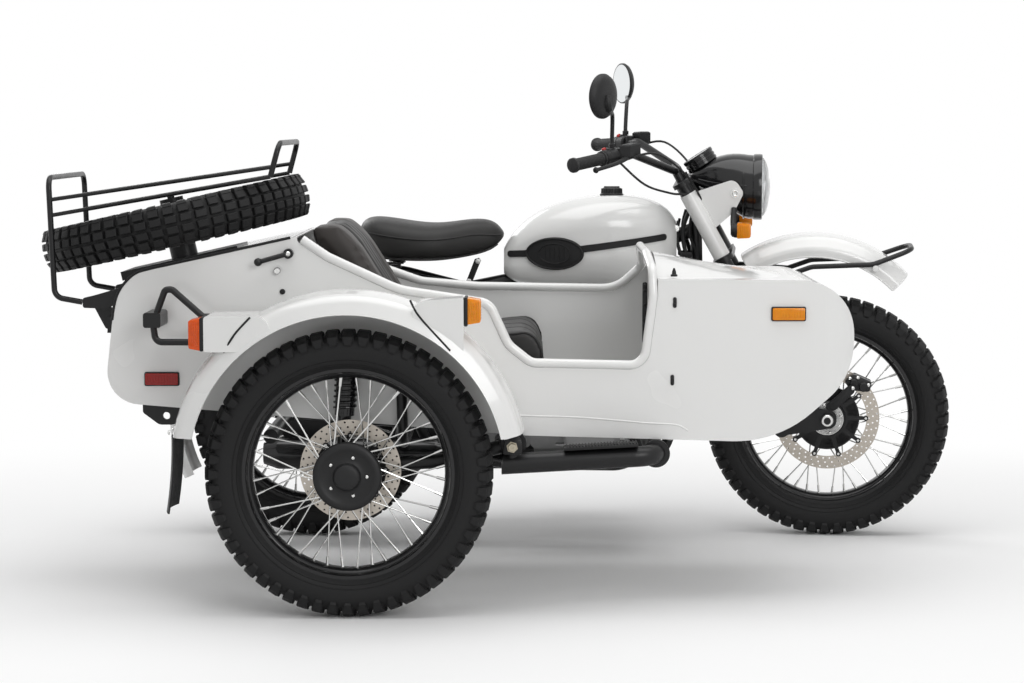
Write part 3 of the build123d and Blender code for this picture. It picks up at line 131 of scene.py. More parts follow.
def mesh_piece(name, material, verts, faces, smooth=False):
    """A mesh object at the origin with one finish."""
    mesh = bpy.data.meshes.new(name)
    mesh.from_pydata([tuple(v) for v in verts], [], faces)
    mesh.materials.append(material)
    piece = bpy.data.objects.new(name, mesh)
    bpy.context.scene.collection.objects.link(piece)
    for polygon in mesh.polygons:
        polygon.use_smooth = smooth
    return piece


def outward(piece, weld=0.0):
    """Turns a piece's faces outwards, with its doubles merged first where a distance is given."""
    work = bmesh.new()
    work.from_mesh(piece.data)
    if weld:
        bmesh.ops.remove_doubles(work, verts=work.verts, dist=weld)
    bmesh.ops.recalc_face_normals(work, faces=work.faces)
    work.to_mesh(piece.data)
    work.free()


def fitted(body, *rows):
    """Pieces that ride on a body, as rows of piece, slot and, where it replaces one, its CAD node. The slot is not
    used.
    """
    for piece, slot, *replaced in rows:
        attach(piece, body)
        for node in replaced:
            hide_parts(node)


def spun(rows, steps):
    """Verts and faces of a closed profile of (y, r) rows spun about Y."""
    verts, faces = [], []
    count = len(rows)
    for k in range(steps):
        turn = 2 * math.pi * k / steps
        verts.extend(Vector((r * math.cos(turn), y, r * math.sin(turn))) for y, r in rows)
    for k in range(steps):
        for i in range(count):
            a, b = k * count + i, k * count + (i + 1) % count
            c, d = ((k + 1) % steps) * count + (i + 1) % count, ((k + 1) % steps) * count + i
            faces.append((a, d, c, b))
    return verts, faces


def between(p0, p1, p2, p3, steps):
    """Points from p1 up to p2 on a Catmull-Rom curve through all four."""
    return [0.5 * (2 * p1 + (p2 - p0) * t + (2 * p0 - 5 * p1 + 4 * p2 - p3) * t * t
                   + (3 * p1 - p0 - 3 * p2 + p3) * t ** 3) for t in [k / steps for k in range(steps)]]


def smooth_rows(points, steps):
    """Closed profile through the points on a smooth curve."""
    rows, count = [], len(points)
    for i in range(count):
        near = [Vector((*points[(i + j) % count], 0)) for j in (-1, 0, 1, 2)]
        rows += [(p.x, p.y) for p in between(*near, steps)]
    return rows


def crown(y):
    """Radius of the tread's surface at a distance from the middle plane."""
    return tyre_r - 0.0100 * (abs(y) / 0.046) ** 2.2


def ring_faces(low, high, sides):
    """Faces between two rings of points, given by the number of each one's first point."""
    return [(low + k, low + (k + 1) % sides, high + (k + 1) % sides, high + k) for k in range(sides)]


def tread_block(y_in, y_out, half, depth, lean=0.0):
    """Verts and faces of one bevelled block standing on the carcass, about angle zero."""
    verts = []
    for level, shrink in ((-depth, 0.0), (-0.0018, 0.0008), (0.0, 0.0026)):
        for y, t in ((y_in, -1), (y_out, -1), (y_out, 1), (y_in, 1)):
            y_at = y + (shrink if y == min(y_in, y_out) else -shrink)
            across = t * (half - shrink) + lean * (y - (y_in + y_out) / 2)
            verts.append(Vector((crown(y) + level, y_at, across)))
    return verts, ring_faces(0, 4, 4) + ring_faces(4, 8, 4) + [(8, 9, 10, 11), (3, 2, 1, 0)]


def side_lug(side, half):
    """A tapering rib that runs from the shoulder down the side wall."""
    verts = []
    for y, r, w in ((0.0462, tyre_r - 0.0100, half), (0.0530, tyre_r - 0.0150, half * 0.95),
                    (0.0548, tyre_r - 0.0330, half * 0.7), (0.0500, tyre_r - 0.0400, half * 0.5),
                    (0.0440, tyre_r - 0.0340, half * 0.7), (0.0420, tyre_r - 0.0200, half)):
        verts += [Vector((r, side * y, -w)), Vector((r, side * y, w))]
    faces = [(2 * i, 2 * i + 1, (2 * i + 3) % 12, (2 * i + 2) % 12) for i in range(6)]
    faces += [tuple(range(0, 12, 2))[::-1], tuple(range(1, 12, 2))]
    return verts, faces


def ring_tree(name):
    """Geometry Nodes tree that repeats its mesh about Y, a given number of times."""
    tree = bpy.data.node_groups.new(name, "GeometryNodeTree")
    tree.interface.new_socket("Geometry", in_out="INPUT", socket_type="NodeSocketGeometry")
    tree.interface.new_socket("Copies", in_out="INPUT", socket_type="NodeSocketInt")
    tree.interface.new_socket("Finish", in_out="INPUT", socket_type="NodeSocketMaterial")
    tree.interface.new_socket("Geometry", in_out="OUTPUT", socket_type="NodeSocketGeometry")
    given = tree.nodes.new("NodeGroupInput").outputs
    points = add_node(tree, "GeometryNodePoints", {"Count": given["Copies"]})
    index = add_node(tree, "GeometryNodeInputIndex")
    turn = add_node(tree, "ShaderNodeMath", {0: index.outputs[0], 1: given["Copies"]}, operation="DIVIDE")
    angle = add_node(tree, "ShaderNodeMath", {0: turn.outputs[0], 1: 2 * math.pi}, operation="MULTIPLY")
    about_y = add_node(tree, "ShaderNodeCombineXYZ", {"Y": angle.outputs[0]})
    copies = add_node(tree, "GeometryNodeInstanceOnPoints",
                      {"Points": points.outputs[0], "Instance": given["Geometry"], "Rotation": about_y.outputs[0]})
    real = add_node(tree, "GeometryNodeRealizeInstances", {0: copies.outputs[0]})
    paint = add_node(tree, "GeometryNodeSetMaterial", {"Geometry": real.outputs[0], "Material": given["Finish"]})
    add_node(tree, "NodeGroupOutput", {0: paint.outputs[0]})
    return tree


around_axle = ring_tree("around_axle")


def applied(piece):
    """Turns a piece's modifiers into its plain mesh."""
    bpy.context.view_layer.update()
    made = bpy.data.meshes.new_from_object(piece.evaluated_get(bpy.context.evaluated_depsgraph_get()))
    piece.modifiers.clear()
    piece.data = made
    return piece


def repeated(piece, copies, material):
    """The piece repeated about Y at the origin, as a plain mesh."""
    ring = piece.modifiers.new("ring", "NODES")
    ring.node_group = around_axle
    for socket in around_axle.interface.items_tree:
        if socket.name == "Copies":
            ring[socket.identifier] = copies
        if socket.name == "Finish":
            ring[socket.identifier] = material
    return applied(piece)


def merged(name, parts):
    """Joins plain meshes into one piece."""
    joined = bmesh.new()
    for part in parts:
        joined.from_mesh(part.data)
    mesh = bpy.data.meshes.new(name)
    joined.to_mesh(mesh)
    joined.free()
    for material in parts[0].data.materials:
        mesh.materials.append(material)
    piece = bpy.data.objects.new(name, mesh)
    bpy.context.scene.collection.objects.link(piece)
    for part in parts:
        bpy.data.objects.remove(part)
    return piece


half_carcass = [(0.022, tyre_floor - 0.0015), (0.040, tyre_r - 0.0195), (0.0495, 0.312), (0.0520, 0.292),
                (0.0470, 0.268), (0.0350, bead_r + 0.0035), (0.0300, bead_r)]
carcass_rows = smooth_rows([(0.0, tyre_floor)] + half_carcass + [(0.0, bead_r)]
                           + [(-y, r) for y, r in half_carcass[::-1]], 3)
carcass = mesh_piece("carcass", rubber, *spun(carcass_rows, 96), smooth=True)
pitch = 2 * math.pi / pitches
lug_verts, lug_faces = [], []
for side in (1, -1):
    for shift, block in ((0.0, tread_block(side * 0.0030, side * 0.0225, 0.0153, 0.014, lean=side * 0.08)),
                         (0.06, tread_block(side * 0.0262, side * 0.0475, 0.0138, 0.020)),
                         (0.06, side_lug(side, 0.0118))):
        turn = Matrix.Rotation(shift * pitch, 3, "Y")
        base = len(lug_verts)
        lug_verts += [turn @ v for v in block[0]]
        lug_faces += [tuple(base + i for i in face) for face in block[1]]
tread_pitch = mesh_piece("tread_pitch", rubber, lug_verts, lug_faces)
outward(tread_pitch)
tread = repeated(tread_pitch, pitches, rubber)
wall_ribs = []
for side in (1, -1):
    for y, r in ((0.0503, 0.304), (0.0493, 0.2745), (0.0445, 0.2640)):
        rib_rows = [(side * (y + 0.0005), r - 0.0011), (side * (y + 0.0016), r),
                    (side * (y + 0.0005), r + 0.0011), (side * (y - 0.003), r)]
        wall_ribs.append(mesh_piece("wall_rib", rubber, *spun(rib_rows[::side], 96), smooth=True))
tyre_master = merged("tyre_master", [carcass, tread] + wall_ribs)


def placed(master, name, matrix):
    """A copy of a master piece with its place in its mesh."""
    mesh = master.data.copy()
    mesh.name = name
    mesh.transform(matrix)
    piece = bpy.data.objects.new(name, mesh)
    bpy.context.scene.collection.objects.link(piece)
    return piece


def wheel_matrix(joint_name):
    """From the origin, axle along Y, to a wheel's joint."""
    joint = joints[joint_name]
    turn = Vector((0, 1, 0)).rotation_difference(Vector(joint["axis"]))
    return Matrix.Translation(joint["pos_m"]) @ turn.to_matrix().to_4x4()


spare_slope = math.radians(12.8)
spare_middle = at(-279, -724, 924)
spare_matrix = (Matrix.Translation(spare_middle) @ Matrix.Rotation(-spare_slope, 4, "Y")
                @ Matrix.Rotation(-math.pi / 2, 4, "X"))
wheels = {name: (name + "_wheel", wheel_matrix(name + "_wheel_spin")) for name in ("front", "rear", "sidecar")}
wheels["spare"] = ("boot_lid", spare_matrix)
for wheel, (body, matrix) in wheels.items():
    fit = 0.9950 if wheel == "spare" else 0.9990
    tyre = placed(tyre_master, wheel + "_lugged_tyre", matrix @ Matrix.Diagonal((fit, 1, fit, 1)))
    fitted(body, (tyre, "tyre", wheel + "_tyre"))
bpy.data.objects.remove(tyre_master)

# Wire wheels: a rolled rim in black, forty bright spokes laced crosswise into a hub, and nipples at the rim.
# The same rim and lacing serve all four wheels; the hubs differ in length.
rim_black = finish("rim_black", (0.008, 0.008, 0.0085), 0.22, coat=0.2, mottle=0.10, size=0.05, bump=0.05,
                   grain=0.001, shine=0.3)
spoke_steel = finish("spoke_steel", (0.62, 0.62, 0.61), 0.22, metal=1.0, mottle=0.10, size=0.01, bump=0.05,
                     grain=0.0008)
spoke_count, spoke_r = 40, 0.0019
rim_inner, flange_r, flange_y = 0.2292, 0.0460, 0.0270
spoke_lean = math.radians(52)


def ring_points(centre, first, second, r, sides):
    """Points round a circle in the plane of two directions."""
    turns = [2 * math.pi * k / sides for k in range(sides)]
    return [centre + r * (math.cos(turn) * first + math.sin(turn) * second) for turn in turns]


def rod_mesh(start, end, radius, sides=6, end_radius=None):
    """Verts and faces of a closed straight bar."""
    axis = (end - start).normalized()
    first = axis.orthogonal().normalized()
    second = axis.cross(first)
    verts = ring_points(start, first, second, radius, sides)
    verts += ring_points(end, first, second, radius if end_radius is None else end_radius, sides)
    ends = [tuple(range(sides))[::-1], tuple(range(sides, 2 * sides))]
    return verts, ring_faces(0, sides, sides) + ends


def gathered(parts):
    """One list of verts and faces out of several."""
    verts, faces = [], []
    for part_verts, part_faces in parts:
        base = len(verts)
        verts += part_verts
        faces += [tuple(base + i for i in face) for face in part_faces]
    return verts, faces


lacing = []
for k in range(4):
    rim_turn = 2 * math.pi * (k + 0.5) / spoke_count
    side = 1 if k % 2 == 0 else -1
    hub_turn = rim_turn + spoke_lean * (1 if k < 2 else -1)
    start = Vector((flange_r * math.sin(hub_turn), side * flange_y, flange_r * math.cos(hub_turn)))
    end = Vector((rim_inner * math.sin(rim_turn), side * 0.007, rim_inner * math.cos(rim_turn)))
    run = (end - start).normalized()
    lacing.append(rod_mesh(start - run * 0.002, end - run * 0.001, spoke_r))
    lacing.append(rod_mesh(end - run * 0.021, end + run * 0.001, 0.0032, end_radius=0.0038))
    lacing.append(rod_mesh(start + Vector((0, side * 0.006, 0)), start - Vector((0, side * 0.006, 0)), 0.0026))
lace_pitch = mesh_piece("lace_pitch", spoke_steel, *gathered(lacing))
lace_master = repeated(lace_pitch, spoke_count // 4, spoke_steel)
lace_master.name = "lace_master"
half_rim = [(0.0330, 0.2510), (0.0345, 0.2530), (0.0345, 0.2450), (0.0300, 0.2415), (0.0235, 0.2405),
            (0.0190, 0.2330), (0.0120, 0.2292)]
rim_rows = half_rim + [(0.0, 0.2285)] + [(-y, r) for y, r in half_rim[::-1]] + [(0.0, 0.2510)]
rim_master = mesh_piece("rim_master", rim_black, *spun(rim_rows[::-1], 96), smooth=True)
hub_ends = {"front": (0.066, -0.066), "rear": (0.060, -0.048), "sidecar": (0.056, -0.062), "spare": (0.050, -0.050)}
for wheel, (body, matrix) in wheels.items():
    left, right = hub_ends[wheel]
    hub_rows = [(left, 0.0103), (left, 0.0255), (left - 0.002, 0.0262), (0.034, 0.0262), (0.032, 0.047),
                (0.0305, 0.048), (0.0235, 0.048), (0.022, 0.047), (0.018, 0.034), (0.0, 0.0315), (-0.018, 0.034),
                (-0.022, 0.047), (-0.0235, 0.048), (-0.0305, 0.048), (-0.032, 0.047), (-0.034, 0.0262),
                (right + 0.002, 0.0262), (right, 0.0255), (right, 0.0103)]
    hub = mesh_piece("hub", rim_black, *spun(hub_rows[::-1], 40), smooth=True)
    hub.data.transform(matrix)
    rim = placed(rim_master, "rim", matrix)
    metal = merged(wheel + "_rim_and_hub", [rim, hub])
    spokes = placed(lace_master, wheel + "_spokes", matrix)
    fitted(body, (metal, "wheel", wheel + "_rim"), (spokes, "wheel"))
    crease = metal.modifiers.new("edges", "EDGE_SPLIT")
    crease.split_angle = math.radians(40)
bpy.data.objects.remove(rim_master)
bpy.data.objects.remove(lace_master)


# Brakes: drilled discs of buff steel on black carriers at the front and sidecar wheels, and the dished hub cap.
# The drilling is real: each pitch of the ring is a cell with its holes, repeated about the axle.
disc_steel = finish("disc_steel", (0.47, 0.43, 0.38), 0.34, metal=0.85, mottle=0.10, size=0.004, bump=0.12,
                    grain=0.0005)
bolt_steel = finish("bolt_steel", (0.66, 0.66, 0.65), 0.24, metal=1.0, mottle=0.12, size=0.004, bump=0.05,
                    grain=0.0005)


def tidy_piece(name, material, parts, smooth=True, sharp=32):
    """One object from several parts, with outward normals and smooth faces between sharp edges."""
    piece = mesh_piece(name, material, *gathered(parts), smooth=smooth)
    outward(piece)
    if smooth:
        piece.data.set_sharp_from_angle(angle=math.radians(sharp))
    return piece


def lathe(place, direction, rows, sides=24):
    """Verts and faces of (height, radius) rows spun about a direction through a place."""
    direction = Vector(direction).normalized()
    first = direction.orthogonal().normalized()
    second = direction.cross(first)
    verts, faces, rings = [], [], []
    for height, r in rows:
        centre = place + direction * height
        base = len(verts)
        if r == 0:
            verts.append(centre)
            rings.append([base])
            continue
        verts += ring_points(centre, first, second, r, sides)
        rings.append(list(range(base, base + sides)))
    for low, high in zip(rings, rings[1:]):
        for k in range(sides):
            j = (k + 1) % sides
            if len(low) == 1:
                faces.append((low[0], high[j], high[k]))
            elif len(high) == 1:
                faces.append((low[k], low[j], high[0]))
            else:
                faces.append((low[k], low[j], high[j], high[k]))
    for ring in (rings[0], rings[-1]):
        if len(ring) > 1:
            faces.append(tuple(ring))
    return verts, faces


def screw(place, direction, r=0.005, height=0.004):
    """A button-head screw with a socket in its head."""
    return lathe(place, direction, [(0, r), (height * 0.35, r), (height * 0.8, r * 0.75), (height, r * 0.5),
                                    (height * 0.45, r * 0.42), (height * 0.45, 0)], 12)


def moved(part, matrix):
    """Verts and faces put through a matrix."""
    return [matrix @ v for v in part[0]], part[1]


def drilled_pitch(r_in, r_out, half, angle, holes, thick):
    """One cell of a drilled ring: bands of quads round each hole, on both faces, with the holes' walls."""
    verts, faces = [], []
    bounds = [r_in + (r_out - r_in) * k / len(holes) for k in range(len(holes) + 1)]
    for (low, high), shift in zip(zip(bounds, bounds[1:]), holes):
        middle, spread = (low + high) / 2, angle / 2
        for y in (half, -half):
            base = len(verts)
            edge = [(-1, -1), (0, -1), (1, -1), (1, 0), (1, 1), (0, 1), (-1, 1), (-1, 0)]
            for a, b in edge:
                turn, r = a * spread + shift * angle, middle + b * (high - low) / 2
                verts.append(Vector((r * math.cos(turn), y, r * math.sin(turn))))
            for a, b in edge:
                turn = math.atan2(b, a)
                r = middle + thick * math.sin(turn)
                around = shift * angle + thick * math.cos(turn) / middle
                verts.append(Vector((r * math.cos(around), y, r * math.sin(around))))
            for k in range(8):
                j = (k + 1) % 8
                faces.append((base + k, base + j, base + 8 + j, base + 8 + k))
        front, back = len(verts) - 32, len(verts) - 16
        for k in range(8):
            j = (k + 1) % 8
            faces.append((front + 8 + k, front + 8 + j, back + 8 + j, back + 8 + k))
        if low == r_in:
            faces += [(front, front + 1, back + 1, back), (front + 1, front + 2, back + 2, back + 1)]
        if high == r_out:
            faces += [(front + 4, front + 5, back + 5, back + 4), (front + 5, front + 6, back + 6, back + 5)]
    return verts, faces


def drilled_disc(name, radius, y, pitches_round, arms, body, matrix):
    """Drilled ring, and the carrier whose arms end at bobbins on the ring."""
    pitch = drilled_pitch(radius - 0.036, radius, 0.0022, 2 * math.pi / pitches_round, (0.0, 0.33, 0.66), 0.0026)
    ring = repeated(mesh_piece("cell", disc_steel, *pitch), pitches_round, disc_steel)
    outward(ring, weld=0.00005)
    ring.name = name + "_ring"
    ring.data.transform(matrix @ Matrix.Translation((0, y, 0)))
    parts, bobbins = [], []
    hub = Vector((0, y, 0))
    parts.append(lathe(hub - Vector((0, 0.0024, 0)), (0, 1, 0),
                       [(0, 0.028), (0, 0.060), (0.0048, 0.060), (0.0048, 0.028)], 40))
    inner = radius - 0.056
    band = [(0, inner - 0.004), (0, inner), (0.0044, inner), (0.0044, inner - 0.004), (0, inner - 0.004)]
    parts.append(lathe(hub - Vector((0, 0.0022, 0)), (0, 1, 0), band, 72))
    for k in range(arms):
        turn = 2 * math.pi * k / arms
        out = Vector((math.cos(turn), 0, math.sin(turn)))
        side = Vector((-math.sin(turn), 0, math.cos(turn)))
        near, far = hub + out * 0.057, hub + out * (radius - 0.038)
        verts = [p + side * w * s + Vector((0, h, 0)) for p, w in ((near, 0.0070), (far, 0.0048))
                 for s, h in ((-1, -0.0023), (1, -0.0023), (1, 0.0023), (-1, 0.0023))]
        parts.append((verts, [(0, 1, 2, 3), (4, 5, 6, 7), (0, 1, 5, 4), (1, 2, 6, 5), (2, 3, 7, 6), (3, 0, 4, 7)]))
        parts.append(lathe(far - Vector((0, 0.0036, 0)), (0, 1, 0), [(0, 0.0075), (0.0072, 0.0075)], 14))
        bobbins.append(lathe(far - Vector((0, 0.0042, 0)), (0, 1, 0), [(0, 0.0036), (0.0084, 0.0036)], 12))
    carrier = tidy_piece(name + "_carrier", black_satin, [moved(part, matrix) for part in parts])
    rivets = tidy_piece(name + "_bobbins", bolt_steel, [moved(part, matrix) for part in bobbins])
    fitted(body, (ring, "disc", name), (carrier, "black_paint"), (rivets, "disc"))


drilled_disc("front_disc", 0.1475, -0.0455, 42, 10, "front_wheel", wheels["front"][1])
drilled_disc("sidecar_disc", 0.1220, 0.0440, 36, 8, "sidecar_wheel", wheels["sidecar"][1])

cap_rows = [(0.0622, 0.0), (0.0622, 0.080), (0.0640, 0.0820), (0.0690, 0.0815), (0.0735, 0.0770), (0.0760, 0.0690),
            (0.0745, 0.0640), (0.0712, 0.0590), (0.0705, 0.0450), (0.0712, 0.0350), (0.0745, 0.0320), (0.0820, 0.0312),
            (0.0862, 0.0285), (0.0885, 0.0220), (0.0897, 0.0120), (0.0899, 0.0)]
first_screw = 2 * math.pi * 0.25 / 5 + 0.942
hub_cap = tidy_piece("sidecar_hub_cover", black_plastic,
                     [moved(lathe(Vector((0, 0, 0)), (0, -1, 0), cap_rows, 72), wheels["sidecar"][1])], sharp=50)
cap_screws = []
for k in range(5):
    turn = first_screw + 2 * math.pi * k / 5
    spot = Vector((0.047 * math.cos(turn), -0.0708, 0.047 * math.sin(turn)))
    cap_screws.append(moved(screw(spot, (0, -1, 0), 0.0052, 0.0045), wheels["sidecar"][1]))
cap_bolts = tidy_piece("hub_cover_bolts", bolt_steel, cap_screws)
fitted("sidecar_wheel", (hub_cap, "black_plastic", "sidecar_hub_cap"), (cap_bolts, "disc"))

# Flat twin: sand-cast aluminium crankcase, finned barrels and heads as the CAD gives them.
# Cover screws, spark plugs with caps, intake clamps and exhaust collars are added.
cast_aluminium = finish("cast_aluminium", (0.30, 0.30, 0.30), 0.48, metal=0.75, mottle=0.14, size=0.02, bump=0.35,
                        grain=0.0011)
dress(cast_aluminium, "crankcase", "cylinders", "cylinder_heads", "carburettors")
crank_x, crank_z = 800, 345
cover_screws, collars, plugs, caps = [], [], [], []
for k in range(10):
    turn = 2 * math.pi * k / 10
    spot = at(crank_x + 221.5, 73 * math.cos(turn), crank_z + 20 + 73 * math.sin(turn))
    cover_screws.append(screw(spot, (1, 0, 0), 0.0052))
for side, bore_x in ((1, crank_x + 18), (-1, crank_x - 18)):
    for dx, dz in ((-52, -44), (52, -44), (-52, 44), (52, 44), (0, -50), (0, 50)):
        cover_screws.append(screw(at(bore_x + dx, side * 359.5, crank_z + dz), (0, side, 0), 0.0055, 0.005))
    collars.append(lathe(at(bore_x + 85, side * 280, crank_z - 10), (1, 0, 0),
                         [(0, 0.021), (0, 0.029), (0.012, 0.029), (0.012, 0.021)], 24))
    collars.append(lathe(at(bore_x - 92.5, side * 281, crank_z + 16), (-1, 0, 0),
                         [(0, 0.0245), (0, 0.028), (0.014, 0.028), (0.014, 0.0245)], 24))
    plug = at(bore_x + 30, side * 325, crank_z + 55)
    plug_way = Vector((0.35, side * 0.45, 0.82))
    plugs.append(lathe(plug, plug_way, [(0, 0.011), (0.008, 0.011), (0.008, 0.007), (0.026, 0.007)], 12))
    caps.append(lathe(plug + plug_way.normalized() * 0.018, plug_way,
                      [(0, 0.0085), (0.012, 0.0100), (0.030, 0.0100), (0.044, 0.0075), (0.047, 0)], 14))
engine_trim = tidy_piece("engine_screws", bolt_steel, cover_screws + collars + plugs)
plug_caps = tidy_piece("spark_plug_caps", black_plastic, caps)
fitted("chassis", (engine_trim, "engine"), (plug_caps, "black_plastic"))

# Fuel tank trim: rubber knee band with an oval pad, five plain ribs inside its raised rim, a ribbed black cap,
# and the two front mounting tabs with their bolts. The band lies on the tank's own lofted side.
trim_rubber = finish("trim_rubber", (0.012, 0.012, 0.0125), 0.54, shine=0.25, mottle=0.14, size=0.012, bump=0.30,
                     grain=0.0007)
dress(trim_rubber, "tank_pads")
pad_parts = []
pad_x, pad_z = 690, 814


def on_tank(x, z, side, lift):
    """The place on the tank's side at a station and height, lifted off its surface."""
    start = at(x, side * 260, z)
    hit, place, normal, _ = nodes["fuel_tank"].ray_cast(start, Vector((0, -side, 0)))
    return place + normal * lift if hit else at(x, side * 60, z)


def rim_on_tank(points, side, r, lift):
    """A rounded cord of rubber that follows points on the tank's side."""
    return tube([on_tank(x, z, side, lift) for x, z in points], r, 8, closed=True)


def tube(points, r, sides=10, closed=False, radii=None):
    """Verts and faces of a round bar through the points, turned without twist."""
    verts, faces = [], []
    count = len(points)
    normal = None
    for i, p in enumerate(points):
        ahead = points[(i + 1) % count] if closed or i + 1 < count else p
        behind = points[i - 1] if closed or i else p
        run = (ahead - behind).normalized()
        normal = run.orthogonal().normalized() if normal is None else (normal - run * normal.dot(run)).normalized()
        verts += ring_points(p, normal, run.cross(normal), radii[i] if radii else r, sides)
    for i in range(count if closed else count - 1):
        faces += ring_faces(i * sides, ((i + 1) % count) * sides, sides)
    if not closed:
        faces += [tuple(range(sides)), tuple(range((count - 1) * sides, count * sides))]
    return verts, faces


def eased(points, steps=6):
    """Points on a Catmull-Rom curve through the given ones."""
    rows = [points[0]] + list(points) + [points[-1]]
    out = []
    for four in zip(rows, rows[1:], rows[2:], rows[3:]):
        out += between(*four, steps)
    return out + [points[-1]]


for side in (1, -1):
    for length, height, count, r, lift in ((76, 41, 48, 0.0030, 0.0090), (44, 27, 40, 0.0016, 0.0092)):
        turns = [2 * math.pi * k / count for k in range(count)]
        oval = [(pad_x + length * math.cos(turn), pad_z + height * math.sin(turn)) for turn in turns]
        pad_parts.append(rim_on_tank(oval, side, r, lift))
    for x in range(pad_x - 26, pad_x + 27, 13):
        rib = [on_tank(x, z, side, 0.0092) for z in range(pad_z - 16, pad_z + 17, 8)]
        pad_parts.append(tube(rib, 0.0013, 6))
fitted("chassis", (tidy_piece("knee_pad_rims", trim_rubber, pad_parts), "rubber"))

cap_foot = at(852, 0, 968)
cap_parts = [lathe(cap_foot, (0, 0, 1), [(0, 0.0), (0, 0.0335), (0.008, 0.0335), (0.010, 0.030), (0.012, 0.0285),
                                         (0.021, 0.0285), (0.0245, 0.0265), (0.026, 0.022), (0.0262, 0.0)], 48)]
for k in range(20):
    turn = 2 * math.pi * k / 20
    out = Vector((math.cos(turn), math.sin(turn), 0))
    cap_parts.append(rod_mesh(cap_foot + out * 0.0286 + Vector((0, 0, 0.0105)),
                              cap_foot + out * 0.0280 + Vector((0, 0, 0.0235)), 0.0020, 6))
cap_parts.append(tube([cap_foot + Vector((-0.022, 0, 0.026)), cap_foot + Vector((0.022, 0, 0.026))], 0.004, 8))
filler = tidy_piece("filler_cap", black_plastic, cap_parts)
fitted("chassis", (filler, "black_plastic", "tank_cap"))
tank_tabs, tank_bolts = [], []
for side in (1, -1):
    root, tip = at(1012, side * 44, 864), at(1032, side * 36, 880)
    tank_tabs.append(tube([root, (root + tip) / 2, tip], 0.0, 12, radii=[0.014, 0.0115, 0.0100]))
    tank_bolts.append(lathe(tip + Vector((0, side * 0.006, 0)), (0, side, 0),
                            [(0, 0.0095), (0.004, 0.0095), (0.004, 0.0070), (0.0075, 0.0066), (0.008, 0)], 18))
tabs = tidy_piece("tank_tabs", white_enamel, tank_tabs)
tab_bolts = tidy_piece("tank_tab_bolts", bolt_steel, tank_bolts)
fitted("chassis", (tabs, "white_paint"), (tab_bolts, "disc"))

# Rider's saddle: black grained vinyl over shaped foam, with a welt round its top panel, on two short coil springs
# and a flat strut. The passenger's cushion and sewn backrest are stuffed by a cloth simulation.
def leather(name, colour, grain):
    """Vinyl with a cracked hide grain over the plain finish."""
    material = finish(name, colour, 0.46, mottle=0.16, size=0.03, shine=0.32)
    tree = material.node_tree
    place = add_node(tree, "ShaderNodeTexCoord").outputs["Object"]
    cell = add_node(tree, "ShaderNodeTexVoronoi", {"Vector": place, "Scale": 1 / grain}, feature="DISTANCE_TO_EDGE")
    relief = add_node(tree, "ShaderNodeBump",
                      {"Strength": 0.5, "Distance": grain * 0.4, "Height": cell.outputs["Distance"]})
    set_inputs(tree, tree.nodes["Principled BSDF"], {"Normal": relief.outputs["Normal"]})
    return material


vinyl = leather("black_vinyl", (0.013, 0.0125, 0.012), 0.0022)
welt_vinyl = leather("welt_vinyl", (0.012, 0.0115, 0.0115), 0.0016)
brown_vinyl = leather("brown_vinyl", (0.024, 0.020, 0.018), 0.0022)

saddle_rows = (      # x, half width, low, welt, high
    (138, 30, 862, 870, 880), (144, 66, 840, 872, 896), (156, 92, 820, 872, 908), (180, 116, 803, 868, 914),
    (215, 130, 794, 862, 912), (260, 138, 791, 856, 905), (310, 141, 790, 852, 897), (360, 134, 791, 852, 894),
    (405, 112, 795, 856, 899), (445, 93, 801, 862, 905), (480, 79, 809, 864, 907), (508, 69, 820, 862, 903),
    (528, 58, 834, 862, 891), (540, 42, 848, 862, 876), (546, 18, 857, 862, 867))


def saddle_ring(half, low, welt, high):
    """Half a section as (y, z), from the middle of the pan to the middle of the top."""
    deep, crown_up = welt - low, high - welt
    return [(0.0, low), (half * 0.55, low), (half * 0.86, low + deep * 0.05), (half * 0.98, low + deep * 0.30),
            (half, low + deep * 0.68), (half * 0.985, welt), (half * 0.93, welt + crown_up * 0.45),
            (half * 0.76, welt + crown_up * 0.80), (half * 0.42, welt + crown_up * 0.96), (0.0, high)]


saddle_verts, saddle_faces = [], []
ring_count = 18     # points round one section of the saddle
for x, half, low, welt, high in saddle_rows:
    ring = saddle_ring(half, low, welt, high)
    ring = ring + [(-y, z) for y, z in ring[-2:0:-1]]
    saddle_verts += [at(x, y, z) for y, z in ring]
for i in range(len(saddle_rows) - 1):
    saddle_faces += ring_faces(i * ring_count, (i + 1) * ring_count, ring_count)
saddle_faces += [tuple(range(ring_count)), tuple(range(len(saddle_verts) - ring_count, len(saddle_verts)))]
saddle = tidy_piece("saddle_cover", vinyl, [(saddle_verts, saddle_faces)], sharp=180)
smooth = saddle.modifiers.new("smooth", "SUBSURF")
smooth.levels = smooth.render_levels = 2
applied(saddle)
welts, hems = [], []
for side in (1, -1):
    welt_line = [at(x, side * (half * 0.985 + 0.5), welt) for x, half, low, welt, high in saddle_rows[1:-1]]
    hem_line = [at(x, side * (half * 0.90), low + (welt - low) * 0.07)
                for x, half, low, welt, high in saddle_rows[2:-2]]
    welts.append(tube(eased(welt_line, 4), 0.0022, 8))
    hems.append(tube(eased(hem_line, 4), 0.0026, 8))
saddle_welts = tidy_piece("saddle_welts", welt_vinyl, welts + hems)
fitted("chassis", (saddle, "leather", "saddle"), (saddle_welts, "leather"))


def coil(start, end, r_start, r_end, wire, turns, steps=14):
    """A coil spring between two places."""
    run = (end - start).normalized()
    first = run.orthogonal().normalized()
    second = run.cross(first)
    points = []
    total = int(turns * steps)
    for k in range(total + 1):
        part = k / total
        turn = 2 * math.pi * turns * part
        r = r_start + (r_end - r_start) * part
        points.append(start + (end - start) * part + r * (math.cos(turn) * first + math.sin(turn) * second))
    return tube(points, wire, 8)


